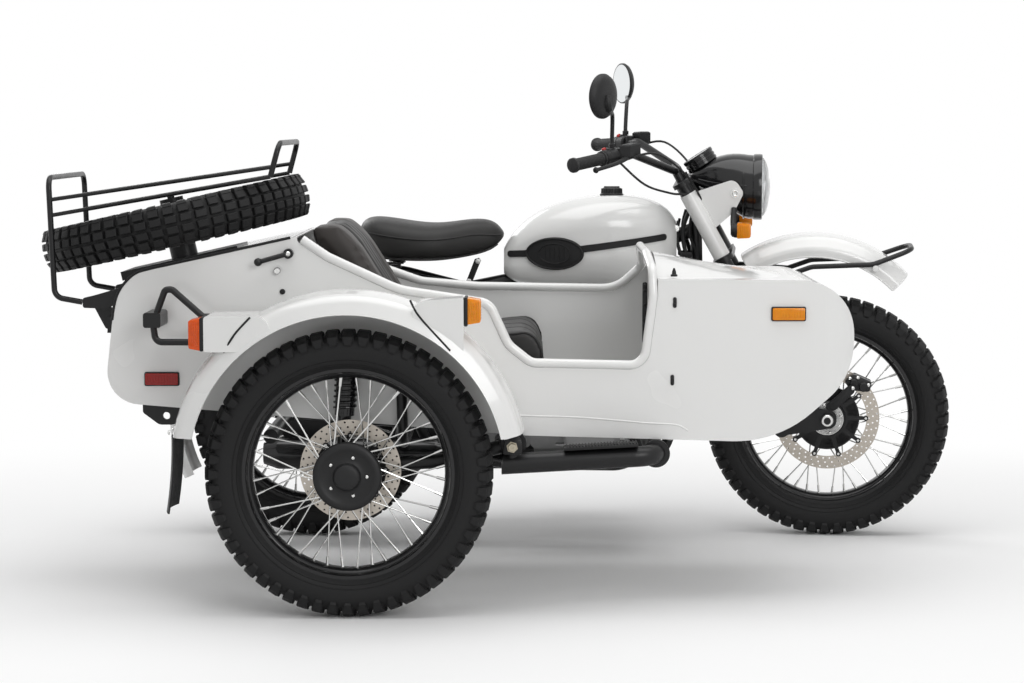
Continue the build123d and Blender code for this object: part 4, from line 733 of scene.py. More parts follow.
spring_parts = []
for side in (1, -1):
    foot = at(235, side * 112, 771)
    spring_parts.append(coil(foot, foot + Vector((0, 0, 0.0165)), 0.0235, 0.0205, 0.0028, 2.6))
    spring_parts.append(lathe(foot - Vector((0, 0, 0.003)), (0, 0, 1),
                              [(0, 0.0), (0, 0.012), (0.020, 0.012), (0.020, 0)], 16))
for y_near, y_far in ((-11, -5), (5, 11)):
    strut_rows = ((436, 722), (454, 722), (480, 786), (474, 794), (462, 790))
    spring_parts.append(([at(x, y, z) for y in (y_near, y_far) for x, z in strut_rows],
                         [(0, 1, 2, 3, 4), (5, 6, 7, 8, 9)] + ring_faces(0, 5, 5)))
springs = tidy_piece("saddle_spring_coils", black_satin, spring_parts)
strut_bolts = tidy_piece("saddle_bolts", bolt_steel,
                         [lathe(at(x, side * 11, z), (0, side, 0), [(0, 0.008), (0.005, 0.008), (0.006, 0.0)], 6)
                          for side in (1, -1) for x, z in ((472, 785), (446, 728))])
fitted("chassis", (springs, "black_paint", "saddle_springs"), (strut_bolts, "disc"))


def slab(points, y_near, y_far, bevel=1.5, steps=2):
    """Verts and faces of an XZ outline stood between two Y stations with rounded edges, all in millimetres."""
    work = bmesh.new()
    face = work.faces.new([work.verts.new(at(x, y_near, z)) for x, z in points])
    made = bmesh.ops.extrude_face_region(work, geom=[face])
    shifted = [v for v in made["geom"] if isinstance(v, bmesh.types.BMVert)]
    bmesh.ops.translate(work, verts=shifted, vec=(0, (y_far - y_near) / 1000, 0))
    bmesh.ops.recalc_face_normals(work, faces=work.faces)
    if bevel:
        bmesh.ops.bevel(work, geom=list(work.edges), offset=bevel / 1000, segments=steps, profile=0.5, affect="EDGES",
                        clamp_overlap=True)
    work.verts.index_update()
    verts, faces = [v.co.copy() for v in work.verts], [tuple(v.index for v in f.verts) for f in work.faces]
    work.free()
    return verts, faces


def rounded(rows, steps=5):
    """Outline points from (x, z, corner radius) rows."""
    out, count = [], len(rows)
    for i, (x, z, r) in enumerate(rows):
        here = Vector((x, z))
        before = (Vector(rows[i - 1][:2]) - here)
        after = (Vector(rows[(i + 1) % count][:2]) - here)
        if r == 0:
            out.append((x, z))
            continue
        half_turn = before.angle(after) / 2
        reach = min(r / math.tan(half_turn), before.length * 0.499, after.length * 0.499)
        r = reach * math.tan(half_turn)
        start, end = here + before.normalized() * reach, here + after.normalized() * reach
        middle = here + (before.normalized() + after.normalized()).normalized() * (r / math.sin(half_turn))
        for k in range(steps + 1):
            spoke = (start - middle).lerp(end - middle, k / steps)
            spot = middle + spoke.normalized() * r
            out.append((spot.x, spot.y))
    return out


def stuffed(name, material, points, y_near, y_far, bevel, limit):
    """A cushion: a rounded slab, remeshed, swollen by cloth pressure within a limit, and smoothed."""
    piece = mesh_piece(name, material, *slab(points, y_near, y_far, bevel, 3))
    grid = piece.modifiers.new("grid", "REMESH")
    grid.mode = "VOXEL"
    grid.voxel_size = 0.0075
    applied(piece)
    start = [v.co.copy() for v in piece.data.vertices]
    cloth = piece.modifiers.new("cloth", "CLOTH")
    cloth.settings.use_pressure = True
    cloth.settings.uniform_pressure_force = 4.0
    cloth.settings.effector_weights.gravity = 0
    for number in range(1, 21):
        bpy.context.scene.frame_set(number)
    applied(piece)
    bpy.context.scene.frame_set(1)
    for vertex, was in zip(piece.data.vertices, start):
        move = vertex.co - was
        if move.length > limit:
            vertex.co = was + move.normalized() * limit
    polish = piece.modifiers.new("polish", "SUBSURF")
    polish.levels = polish.render_levels = 1
    applied(piece)
    for polygon in piece.data.polygons:
        polygon.use_smooth = True
    piece.data.materials.clear()
    piece.data.materials.append(material)
    return piece


def channelled(piece, stations, way, facing, width, depth):
    """Presses sewn channels into a cushion where its surface faces a direction."""
    for vertex in piece.data.vertices:
        near = min(abs(vertex.co.dot(way) - station) for station in stations)
        if near < width and vertex.normal.dot(facing) > 0.3:
            vertex.co -= facing * depth * (1 - near / width) ** 2


swell = 0.006       # the furthest that the stuffing may push a point
cushion_rows = [(256, 538, 26), (642, 557, 26), (657, 610, 36), (634, 668, 44), (266, 634, 34)]
cushion = stuffed("passenger_cushion", vinyl, rounded(cushion_rows), -480, -968, 20, swell)
back_rows = [(240, 648, 24), (90, 900, 0), (84, 922, 16), (146, 929, 20), (190, 886, 52), (334, 656, 18)]
back_left, back_right, bolster = -486, -962, 118
backrest = stuffed("passenger_backrest", vinyl, rounded(back_rows), back_left - bolster, back_right + bolster, 16,
                   swell)
bolsters = [stuffed("backrest_bolster", brown_vinyl, rounded(back_rows), near, far, 22, swell)
            for near, far in ((back_left, back_left - bolster + 4), (back_right + bolster - 4, back_right))]
up_face = Vector((0.86, 0, 0.50)).normalized()
across_y = Vector((0, 1, 0))
channelled(backrest, [bike_y + y / 1000 for y in (-664, -724, -784)], across_y, up_face, 0.012, 0.009)
channelled(cushion, [bike_y + y / 1000 for y in (-604, -724, -844)], across_y, Vector((0, 0, 1)), 0.012, 0.008)
fitted("chassis", (cushion, "leather", "sidecar_cushion"), (backrest, "leather", "sidecar_backrest"))
fitted("chassis", *[(piece, "leather") for piece in bolsters])


def lying_on(piece, points, lift):
    """Points moved to the nearest place on a piece's surface."""
    out = []
    for point in points:
        hit, place, normal, _ = piece.closest_point_on_mesh(point)
        out.append(place + normal * lift)
    return out


piping = []
for y in (-482, -966):
    edge = [at(x, y, z) for x, z in ((275, 642), (400, 655), (560, 668), (630, 672), (655, 625), (650, 566))]
    piping.append(tube(lying_on(cushion, eased(edge, 5), 0.001), 0.0032, 8))
front_edge = [at(650, y, 600) for y in range(-960, -480, 24)]
piping.append(tube(lying_on(cushion, front_edge, 0.001), 0.0032, 8))
fitted("chassis", (tidy_piece("seat_piping", welt_vinyl, piping), "leather"))

# Lamps of the sidecar and tail: ribbed lenses on black gaskets, and flat reflectors on the tub.
# Moulded acrylic, clear amber and orange-red, with the ribs on the outer faces.
def lens_plastic(name, colour, deep):
    """Coloured acrylic: glossy, partly clear, a little deeper in places."""
    material = finish(name, colour, 0.22, coat=0.15, mottle=0.10, size=0.01, bump=0.05, grain=0.001, shine=0.25)
    tree = material.node_tree
    set_inputs(tree, tree.nodes["Principled BSDF"], {"Transmission Weight": 0.18, "IOR": 1.49,
                                                     "Subsurface Weight": deep, "Subsurface Scale": 0.01})
    return material


amber = lens_plastic("amber_acrylic", (0.90, 0.29, 0.004), 0.25)
orange = lens_plastic("orange_red_acrylic", (0.80, 0.10, 0.004), 0.2)
red = lens_plastic("red_acrylic", (0.34, 0.010, 0.008), 0.15)
wheel_lead, track, tub_right = 187, 1140, -1012
rear_lamp, front_lamp = wheel_lead - 333, wheel_lead + 276


def oblong(x_from, x_to, low, high, corner, steps=5):
    """Outline of an upright rectangle with rounded corners."""
    return rounded([(x_from, low, corner), (x_to, low, corner), (x_to, high, corner), (x_from, high, corner)], steps)


def lamp_lens(x_root, x_tip, low, high, y_near, y_far, ribs):
    """A block lens with a rim and vertical ribs on its outer side and its end."""
    way = 1 if x_tip > x_root else -1
    block = rounded([(x_root, low, 0), (x_tip, low + 5, 5), (x_tip, high - 5, 5), (x_root, high, 0)], 3)
    parts = [slab(block, y_near, y_far, 2.0)]
    for k in range(ribs):
        x = x_root + (x_tip - x_root) * (k + 0.7) / (ribs + 0.5)
        parts.append(rod_mesh(at(x, y_far - 0.3, low + 9), at(x, y_far - 0.3, high - 9), 0.0009, 6))
    for k in range(7):
        z = low + 12 + (high - low - 24) * k / 6
        parts.append(rod_mesh(at(x_root + way * 3, y_far - 0.2, z), at(x_tip - way * 4, y_far - 0.2, z), 0.0007, 6))
        parts.append(rod_mesh(at(x_tip - way * 0.2, y_near - 5, z), at(x_tip - way * 0.2, y_far + 5, z), 0.0008, 6))
    return parts


def gasket(x_from, x_to, low, high, y_near, y_far):
    """A black rubber frame between a housing and its lens."""
    return slab(oblong(x_from, x_to, low, high, 3, 2), y_near, y_far, 1.2)


def reflector(middle, half, low, high):
    """A flat reflector on the tub's side, with upright ribs on its face."""
    ribs = [rod_mesh(at(middle + dx, tub_right - 9.4, low + 4), at(middle + dx, tub_right - 9.4, high - 4), 0.0008, 6)
            for dx in range(-35, 36, 7)]
    return [slab(oblong(middle - half, middle + half, low, high, 3), tub_right - 3, tub_right - 9.6, 1.5)] + ribs


rear_lens = tidy_piece("rear_pod_lens", orange,
                       lamp_lens(rear_lamp - 9, rear_lamp - 36, 645, 721, -track - 20, -track - 86, 5))
front_lens = tidy_piece("front_pod_lens", amber,
                        lamp_lens(front_lamp + 9, front_lamp + 40, 706, 768, -track - 10, -track - 78, 5))
side_reflector = tidy_piece("rear_side_reflector", red, reflector(-277.5, 39.5, 542, 570))
nose_reflector = tidy_piece("front_side_reflector", amber, reflector(1246, 39, 701, 730))
tail_pivot = at(-376, 0, 556)
tail_turn = (Matrix.Translation(tail_pivot) @ Matrix.Rotation(math.radians(26), 4, "Y")
             @ Matrix.Translation(-tail_pivot))
tail = [slab(rounded([(-416, 531, 4), (-409.5, 530, 0), (-409.5, 582, 0), (-416, 581, 4)], 3), 43.5, -43.5, 2.0)]
tail += [rod_mesh(at(-416, y, 534), at(-416, y, 578), 0.0008, 6) for y in range(-36, 37, 8)]
tail_piece = tidy_piece("tail_lamp_lens", red, [moved(part, tail_turn) for part in tail])
fitted("chassis", (rear_lens, "red", "red_lenses"), (front_lens, "amber", "amber_lenses"), (side_reflector, "red"),
       (nose_reflector, "amber"), (tail_piece, "red"))

gaskets = [gasket(rear_lamp - 0.5, rear_lamp - 9.5, 643.5, 723, -track - 17, -track - 87.5),
           gasket(front_lamp + 0.5, front_lamp + 9.5, 702, 770, -track - 6, -track - 80.5)]
for corners in ((-320, -235, 539, 573), (1204, 1288, 698, 733)):
    gaskets.append(slab(oblong(*corners, 4), tub_right - 0.3, tub_right - 4.5, 1.0))


def on_guard(x, z, lift=-0.0003):
    """A place on the outside of the sidecar's mudguard or its lamp housings, seen from its own side."""
    hit, place, normal, _ = nodes["sidecar_mudguard"].ray_cast(at(x, -1400, z), Vector((0, 1, 0)))
    return place + normal * lift if hit else at(x, -track - 80, z)


for line in (((-100, 641), (-86, 664), (-68, 690), (-36, 724)),
             ((338, 764), (352, 736), (376, 706), (404, 676), (432, 646))):
    gaskets.append(tube(eased([on_guard(x, z) for x, z in line], 3), 0.0026, 8))
lamp_gaskets = tidy_piece("lamp_gaskets", trim_rubber, gaskets)
dress(trim_rubber, "mud_flap", "foot_pegs")
flap_bolts = tidy_piece("flap_bolts", bolt_steel,
                        [screw(at(-233, -track + y, 448), (-1, 0, 0.1), 0.006, 0.005) for y in (-52, 0, 52)]
                        + [screw(at(388 + 22, -track - 79, 662), (0, -1, 0), 0.0045, 0.004)])
fitted("chassis", (lamp_gaskets, "rubber"), (flap_bolts, "disc"))

# Small fittings of the sidecar body: windscreen studs and cleats, plugs, hinge strip inside the opening,
# bright lock and latch screw, the lid's rubber seal, and the pressed crease over the step.
panel = tub_right - 0.2
studs, studs_bright = [], []
for x, z in ((970, 743), (965, 554)):
    studs.append(slab(oblong(x - 4.5, x + 4.5, z - 13, z + 13, 4, 3), panel, panel - 2.6, 0.8))
    studs.append(lathe(at(x, panel - 2.4, z - 4), (0, -1, 0),
                       [(0, 0.0035), (0.004, 0.0032), (0.005, 0.002), (0.005, 0)], 14))
studs.append(lathe(at(969, -990, 805), (0, 0, 1), [(0, 0.0085), (0.004, 0.0085), (0.006, 0.0055), (0.012, 0.0048),
                                                   (0.020, 0.0022), (0.021, 0)], 18))
for x, z, r in ((575, 495, 0.0088), (18, 769, 0.0068)):
    studs.append(lathe(at(x, panel, z), (0, -1, 0), [(0, r), (0.003, r), (0.0062, r * 0.7), (0.0072, 0)], 22))
studs.append(slab(oblong(893, 905, 640, 790, 4, 3), -972, -977, 1.0))
for z in (652, 668, 700, 735, 770, 782):
    studs.append(screw(at(899, -977, z), (0, -1, 0), 0.0042, 0.004))
seal_rows = ((38, 900), (-134, 862), (-250, 836.5), (-308, 823.5), (-340, 812.5), (-365.5, 790), (-384, 761),
             (-393, 728), (-397, 700))
studs.append(tube(eased([at(x, tub_right + 0.5, z) for x, z in seal_rows], 6), 0.0036, 8))
studs_piece = tidy_piece("tub_studs", trim_rubber, studs)
studs_bright.append(screw(at(34, tub_right - 22, 862), (0, -1, 0), 0.0062, 0.005))
studs_bright.append(lathe(at(6, tub_right - 10, 820), (0, -1, 0),
                          [(0, 0.0074), (0.0015, 0.0076), (0.0026, 0.0062), (0.0026, 0.0026), (0.0016, 0.0024),
                           (0.0016, 0)], 26))
bright_piece = tidy_piece("tub_screws", bolt_steel, studs_bright)
crease_rows = ((560, 468), (640, 465), (736, 462), (840, 454), (908, 448), (975, 444), (1004, 430))
crease = tidy_piece("tub_creases", white_enamel,
                    [tube(eased([at(x, panel + 1.2, z) for x, z in crease_rows], 4), 0.0026, 10)])
fitted("chassis", (studs_piece, "rubber"), (bright_piece, "disc"), (crease, "white_paint"))

# Step beside the sidecar: a ribbed rubber tread on the tube, the flange at its end, the arm's pivot bolt in its
# clevis, and coil springs over the shock absorbers' bodies.
tread_parts = [slab(rounded([(700, 392, 3), (880, 402, 3), (880, 409, 4), (700, 399, 4)], 2), -1047, -1101, 2.0)]
for k in range(23):
    x = 706 + 7.6 * k
    z = 399 + (x - 700) * 10 / 180
    rib = [(x, z - 2), (x + 3.6, z - 1.8), (x + 3.2, z + 3.2), (x + 0.6, z + 3.0)]
    tread_parts.append(slab(rib, -1050, -1098, 0.4, 1))
step_tread = tidy_piece("step_tread", trim_rubber, tread_parts)
step_parts = [lathe(at(925, -1040, 377), (0, 1, 0), [(0, 0.0255), (0, 0.034), (0.006, 0.034), (0.006, 0.0255)], 40)]
step_parts.append(lathe(at(553, -1072, 356.1), (-1, 0, 0),
                        [(0, 0.0), (0, 0.0252), (0.002, 0.0258), (0.003, 0.024), (0.0015, 0.021), (0.0015, 0)], 32))
for y in (-1058, -1104):
    step_parts.append(slab(rounded([(552, 384, 6), (600, 384, 6), (600, 420, 14), (560, 424, 14)]), y, y - 5, 1.0))
step_fittings = tidy_piece("step_fittings", black_satin, step_parts)
pivot_steel = finish("pivot_steel", (0.42, 0.38, 0.30), 0.35, metal=0.9, mottle=0.15, size=0.004, bump=0.1,
                     grain=0.0005)
pivot_rows = [(0, 0.014), (0.002, 0.014), (0.002, 0.0115), (0.009, 0.0110), (0.010, 0.0095), (0.010, 0.004),
              (0.008, 0.0035), (0.008, 0)]
pivot_bolt = tidy_piece("pivot_bolt", pivot_steel, [lathe(at(576, -1109, 402), (0, -1, 0), pivot_rows, 6)])
fitted("chassis", (step_tread, "rubber", "step_plate"), (step_fittings, "black_paint"), (pivot_bolt, "disc"))

steer = joints["steering"]
parked_turn = math.radians(-7)
steer_turn = (Matrix.Translation(steer["pos_m"]) @ Matrix.Rotation(parked_turn, 4, Vector(steer["axis"]))
              @ Matrix.Translation(-Vector(steer["pos_m"])))
shock_rows = (       # foot (x, z), top (x, z), y, spring radius, body
    ((-24, 395.1), (52, 756), 146, 0.0295, "chassis"), ((-24, 395.1), (52, 756), -146, 0.0295, "chassis"),
    ((165, 393.4), (179, 640), -1054, 0.0262, "chassis"),
    ((1432, 411), (1298, 734), 93.3, 0.0180, "steering"), ((1432, 411), (1298, 734), -93.3, 0.0180, "steering"))
shock_bodies = []
for foot, top, y, r, body in shock_rows:
    foot, top = (at(x, y, z) for x, z in (foot, top))
    run = (top - foot).normalized()
    if body == "chassis":
        part = coil(foot + run * 0.092, top - run * 0.034, r, r, 0.0032, 9)
    else:
        part = moved(coil(foot + run * 0.030, foot + run * 0.165, r, r, 0.0030, 7), steer_turn)
    shock_bodies.append((body, part))
for body in ("chassis", "steering"):
    springs = tidy_piece(body + "_shock_springs", black_gloss, [part for name, part in shock_bodies if name == body])
    fitted(body, (springs, "black_paint"))

# Headlamp: clear fluted glass before a bright bowl, in a rim on a long black cowl that tapers to the steering
# head, with the gauge's barrel, dial and red needle above it.
def parked(parts):
    """Parts of the steering, turned to where the front wheel is parked."""
    return [moved(part, steer_turn) for part in parts]


clear_glass = finish("clear_glass", (0.95, 0.96, 0.96), 0.03, mottle=0.01, size=0.05)
set_inputs(clear_glass.node_tree, clear_glass.node_tree.nodes["Principled BSDF"],
           {"Transmission Weight": 0.92, "IOR": 1.45})
bright = finish("bright_plating", (0.80, 0.80, 0.79), 0.12, metal=1.0, mottle=0.06, size=0.01, bump=0.03,
                grain=0.0008)
mirror_face = finish("mirror_face", (0.82, 0.84, 0.85), 0.03, metal=1.0, mottle=0.02, size=0.05)
ribbed_rubber = finish("grip_rubber", (0.010, 0.010, 0.0105), 0.62, mottle=0.14, size=0.01, bump=0.35,
                       grain=0.0007)
head_x, lamp_x, lamp_z = 1060, 1254, 997
lamp_front = at(lamp_x, 0, lamp_z)
forward = Vector((1, 0, 0))
bowl_rows = [(0.0075, 0.0), (0.0078, 0.030), (0.0105, 0.055), (0.0150, 0.070), (0.0238, 0.0825), (0.0243, 0.0828),
             (0.0243, 0.0818), (0.0155, 0.0695), (0.0110, 0.0545), (0.0085, 0.030), (0.0083, 0)]
bulb_rows = [(0, 0.012), (0.004, 0.012), (0.012, 0.009), (0.016, 0.004), (0.017, 0)]
bowl = tidy_piece("headlamp_bowl", bright, parked([lathe(lamp_front, forward, bowl_rows, 64),
                                                   lathe(lamp_front + forward * 0.008, forward, bulb_rows, 20)]))
dome_rows = [(0.0252, 0.0), (0.0246, 0.0828), (0.0262, 0.0826), (0.0300, 0.0790), (0.0352, 0.0700), (0.0400, 0.0560),
             (0.0435, 0.0390), (0.0455, 0.0200), (0.0459, 0.0)]
flutes = []
for k in range(-6, 7):
    y = 0.010 * k
    half = math.sqrt(0.074 ** 2 - y * y)
    line = [Vector((0.0262 + 0.0192 * (1 - (math.hypot(y, half * part / 4) / 0.083) ** 2.4), y, half * part / 4))
            for part in range(-4, 5)]
    flutes.append(tube([lamp_front + spot for spot in line], 0.0010, 6))
lamp_glass = tidy_piece("headlamp_glass", clear_glass,
                        parked([lathe(lamp_front, forward, dome_rows, 64)] + flutes), sharp=60)
rim_rows = [(-0.0010, 0.0900), (0.0010, 0.0925), (0.0050, 0.0932), (0.0200, 0.0932), (0.0238, 0.0922), (0.0250, 0.0900),
            (0.0250, 0.0838), (0.0236, 0.0832), (0.0236, 0.0846), (0.0100, 0.0846), (-0.0010, 0.0870)]
band_rows = [(-0.0300, 0.0885), (-0.0290, 0.0902), (-0.0260, 0.0902), (-0.0250, 0.0885), (-0.0300, 0.0885)]
rim_ring = tidy_piece("headlamp_rim", black_gloss, parked([lathe(lamp_front, forward, rim_rows + rim_rows[:1], 72),
                                                           lathe(lamp_front, forward, band_rows, 72)]))
fitted("steering", (bowl, "mirror"), (lamp_glass, "lamp_glass", "headlamp_lens"), (rim_ring, "black_plastic"))

dial_middle, dial_lean = at(head_x + 33, 0, 1087), math.radians(33)
dial_up = Vector((-math.sin(dial_lean), 0, math.cos(dial_lean)))
dial_fore = Vector((math.cos(dial_lean), 0, math.sin(dial_lean)))
barrel_rows = [(-0.0340, 0.0), (-0.0340, 0.0440), (-0.0325, 0.0456), (-0.0260, 0.0456), (-0.0250, 0.0440),
               (-0.0220, 0.0440), (-0.0210, 0.0456), (-0.0150, 0.0456), (-0.0140, 0.0440), (-0.0110, 0.0440),
               (-0.0100, 0.0458), (-0.0030, 0.0460), (-0.0006, 0.0450), (0.0, 0.0432), (-0.0012, 0.0415),
               (-0.0042, 0.0412), (-0.0042, 0.0)]
gauge = tidy_piece("gauge_barrel", black_gloss, parked([lathe(dial_middle, dial_up, barrel_rows, 64)]))


def lofted(sections, sides=48):
    """A closed skin through upright rounded sections, each (x, top, bottom, half width, squareness)."""
    verts, faces = [], []
    for x, top, low, half, square in sections:
        for k in range(sides):
            turn = 2 * math.pi * k / sides
            c, s = math.cos(turn), math.sin(turn)
            verts.append(at(x, math.copysign(half * abs(c) ** (2 / square), c),
                            (top + low) / 2 + math.copysign((top - low) / 2 * abs(s) ** (2 / square), s)))
    for ring in range(len(sections) - 1):
        faces += ring_faces(ring * sides, (ring + 1) * sides, sides)
    faces += [tuple(range(sides)), tuple(range(len(verts) - sides, len(verts)))]
    return verts, faces


cowl_rows = [(1257, 1087, 907, 90, 2.0), (1240, 1088, 907, 89.5, 2.0), (1226, 1090, 911, 87, 2.05),
             (1212, 1091, 919, 83.5, 2.15), (1196, 1091, 931, 79, 2.3), (1178, 1089, 946, 73, 2.45),
             (1160, 1085, 961, 67, 2.6), (1142, 1079, 975, 61, 2.7), (1124, 1070, 987, 55, 2.8),
             (1106, 1058, 997, 49, 2.8), (1090, 1048, 1004, 43, 2.7), (1079, 1040, 1010, 37, 2.5),
             (1074, 1034, 1015, 31, 2.4)]
lip_rows = ((1100, 47, 1022), (1130, 57, 1016), (1165, 69, 1011), (1200, 80, 1009), (1236, 88.5, 1008))
cowl_lips = [tube(eased([at(x, side * (half + 0.2), z) for x, half, z in lip_rows], 5), 0.0022, 8)
             for side in (-1, 1)]
cowl = tidy_piece("headlamp_cowl", black_gloss, parked([lofted(cowl_rows)] + cowl_lips))
fitted("steering", (cowl, "black_paint", "headlamp_shell"))
dial_white = finish("dial_print", (0.75, 0.75, 0.72), 0.5, mottle=0.03, size=0.01)
red_print = finish("switch_red", (0.45, 0.012, 0.010), 0.35, mottle=0.08, size=0.006, bump=0.05, grain=0.0006)
mark_drop = dial_up * 0.0038
marks = []
for k in range(19):
    turn = math.radians(-135 + 15 * k)
    out = dial_fore * math.cos(turn) + Vector((0, 1, 0)) * math.sin(turn)
    start = 0.031 if k % 2 == 0 else 0.034
    marks.append(rod_mesh(dial_middle + out * start - mark_drop, dial_middle + out * 0.0385 - mark_drop, 0.0006, 4))
dial_marks = tidy_piece("dial_marks", dial_white, parked(marks), smooth=False)
needle_way = dial_fore * -0.7 + Vector((0, -0.7, 0))
needle_root = dial_middle - dial_up * 0.0030
needle = tidy_piece("dial_needle", red_print, parked([
    rod_mesh(needle_root, needle_root + needle_way * 0.034, 0.0009, 6, end_radius=0.0004),
    lathe(dial_middle - dial_up * 0.0042, dial_up, [(0, 0.005), (0.0022, 0.005), (0.0026, 0)], 16)]))
dial_glass = tidy_piece("dial_glass", clear_glass, parked([
    lathe(dial_middle, dial_up, [(-0.0016, 0.0), (-0.0016, 0.0412), (-0.0009, 0.0412), (-0.0005, 0)], 48)]))
fitted("steering", (gauge, "black_plastic", "instrument"), (dial_marks, "black_plastic"), (needle, "black_plastic"),
       (dial_glass, "lamp_glass"))

# Handlebar fittings: ribbed grips, clamps with levers, a fluid tank and a red switch each, round mirrors with
# domed backs on bent stalks, and three short rubber-covered cables.
grip_parts, control_parts, red_parts, cable_parts, cup_parts, glass_parts = [], [], [], [], [], []
clamp_rows = [(0, 0.0113), (0, 0.0200), (0.002, 0.0222), (0.016, 0.0226), (0.018, 0.0212), (0.020, 0.0226),
              (0.048, 0.0222), (0.052, 0.0190), (0.052, 0.0113)]
cup_rows = [(0.0026, 0.0), (0.0026, 0.0560), (0.0, 0.0566), (-0.0006, 0.0585), (0.0006, 0.0600), (0.0060, 0.0602),
            (0.0130, 0.0560), (0.0190, 0.0470), (0.0225, 0.0340), (0.0235, 0.0180), (0.0237, 0)]
glass_rows = [(-0.0010, 0.0), (-0.0010, 0.0562), (0.0006, 0.0562), (0.0012, 0.040), (0.0015, 0)]
stalk_radii = [0.0058] * 14 + [0.0060, 0.0066, 0.0074, 0.0084, 0.0096, 0.0110, 0.0125, 0.0135, 0.0140, 0.0145,
                               0.0150, 0.0150]
cable_rows = (((0.030, 0, -0.010), (0.110, 0.03, 0.004), (0.190, 0.10, -0.060), (0.235, 0.185, -0.150),
               (0.250, 0.20, -0.230)),
              ((0.012, 0, -0.018), (0.080, 0.02, -0.080), (0.150, 0.09, -0.110), (0.215, 0.17, -0.130),
               (0.262, 0.195, -0.235)))
mirror_turn = math.radians(30)
for side in (1, -1):
    end, bend = at(777, side * 410, 1087), at(914, side * 222, 1108)
    run = (bend - end).normalized()
    rows = [(-0.0040, 0.0), (-0.0040, 0.0150), (-0.0025, 0.0200), (0.0050, 0.0205), (0.0075, 0.0185), (0.0085, 0.0165)]
    place = 0.012
    while place < 0.112:
        rows += [(place, 0.0156), (place + 0.0008, 0.0168), (place + 0.0036, 0.0168), (place + 0.0044, 0.0156)]
        place += 0.0056
    rows += [(0.1155, 0.0165), (0.1165, 0.0205), (0.1212, 0.0208), (0.1222, 0.0190), (0.1222, 0.0113)]
    grip_parts.append(lathe(end, run, rows, 28))
    hub = end + run * 0.150
    control_parts.append(lathe(end + run * 0.1236, run, clamp_rows, 28))
    control_parts.append(lathe(hub + Vector((0, 0, 0.017)), (0, 0, 1),
                               [(0, 0.012), (0.006, 0.0115), (0.008, 0.009), (0.008, 0)], 16))
    perch = end + run * 0.186
    control_parts.append(lathe(perch, (0, 0, 1),
                               [(-0.014, 0.0), (-0.014, 0.013), (0.018, 0.013), (0.020, 0.011), (0.020, 0)], 18))
    tank_place = perch + Vector((0.034, 0, 0.014))
    box = [tank_place + run * long * a + Vector((wide * b, 0, c))
           for c, long, wide in ((-0.015, 0.022, 0.015), (0.014, 0.022, 0.015), (0.018, 0.018, 0.011))
           for a, b in ((-1, -1), (1, -1), (1, 1), (-1, 1))]
    control_parts.append((box, [(3, 2, 1, 0), (8, 9, 10, 11)] + ring_faces(0, 4, 4) + ring_faces(4, 8, 4)))
    lever_root = end + run * 0.178 + Vector((0.034, 0, -0.004))
    lever_tip = end + run * 0.004 + Vector((0.058, -side * 0.012, -0.014))
    middle = (lever_root + lever_tip) / 2 + Vector((0.010, 0, 0.0))
    control_parts.append(tube(eased([lever_root, middle, lever_tip], 8), 0.006, 8,
                              radii=[0.0072 - 0.0018 * k / 16 for k in range(17)]))
    control_parts.append(lathe(lever_tip, lever_tip - middle,
                               [(-0.008, 0.0), (-0.006, 0.006), (0, 0.0088), (0.005, 0.0065), (0.0075, 0.0)], 16))
    red_parts.append(lathe(hub - run * 0.006 + Vector((-0.010, 0, 0.0205)), (-0.4, 0, 0.92),
                           [(-0.004, 0.0065), (0.004, 0.0062), (0.006, 0.004), (0.006, 0)], 14))
    post = end + run * 0.162 + Vector((0, 0, 0.020))
    elbow = post + Vector((0.002, side * 0.018, 0.092))
    head = post + Vector((-0.020, side * 0.120, 0.1497))
    glass_way = Vector((-math.cos(mirror_turn), -side * math.sin(mirror_turn), 0))
    cup_parts.append(lathe(head, -glass_way, cup_rows, 56))
    glass_parts.append(lathe(head, glass_way, glass_rows, 56))
    neck = head - glass_way * 0.020 + Vector((0.002, 0, -0.030))
    stalk = eased([post + Vector((0, 0, 0.002)), post + Vector((0, 0, 0.030)), elbow, (elbow + neck) / 2, neck,
                   head - glass_way * 0.018], 5)
    cup_parts.append(tube(stalk, 0.006, 10, radii=stalk_radii))
    cup_parts.append(lathe(post + Vector((0, 0, 0.004)), (0, 0, 1), [(0, 0.0095), (0.010, 0.0095), (0.012, 0.007)], 6))
    for row in cable_rows[:1] if side > 0 else cable_rows:
        line = [end + run * 0.176 + Vector((x, -side * y, z)) for x, y, z in row]
        cable_parts.append(tube(eased(line, 7), 0.0032, 8))
grip_piece = tidy_piece("ribbed_grips", ribbed_rubber, parked(grip_parts), sharp=50)
control_piece = tidy_piece("bar_controls", black_plastic, parked(control_parts))
switch_piece = tidy_piece("bar_switches", red_print, parked(red_parts))
mirror_piece = tidy_piece("mirror_heads", black_plastic, parked(cup_parts))
mirror_glasses = tidy_piece("mirror_glasses", mirror_face, parked(glass_parts), sharp=60)
cable_piece = tidy_piece("control_cables", black_plastic, parked(cable_parts))
fitted("steering", (grip_piece, "rubber", "grips"), (control_piece, "black_plastic", "hand_controls"),
       (switch_piece, "black_plastic"), (mirror_piece, "black_plastic", "mirrors"),
       (mirror_glasses, "mirror", "mirror_glass"), (cable_piece, "black_plastic"))

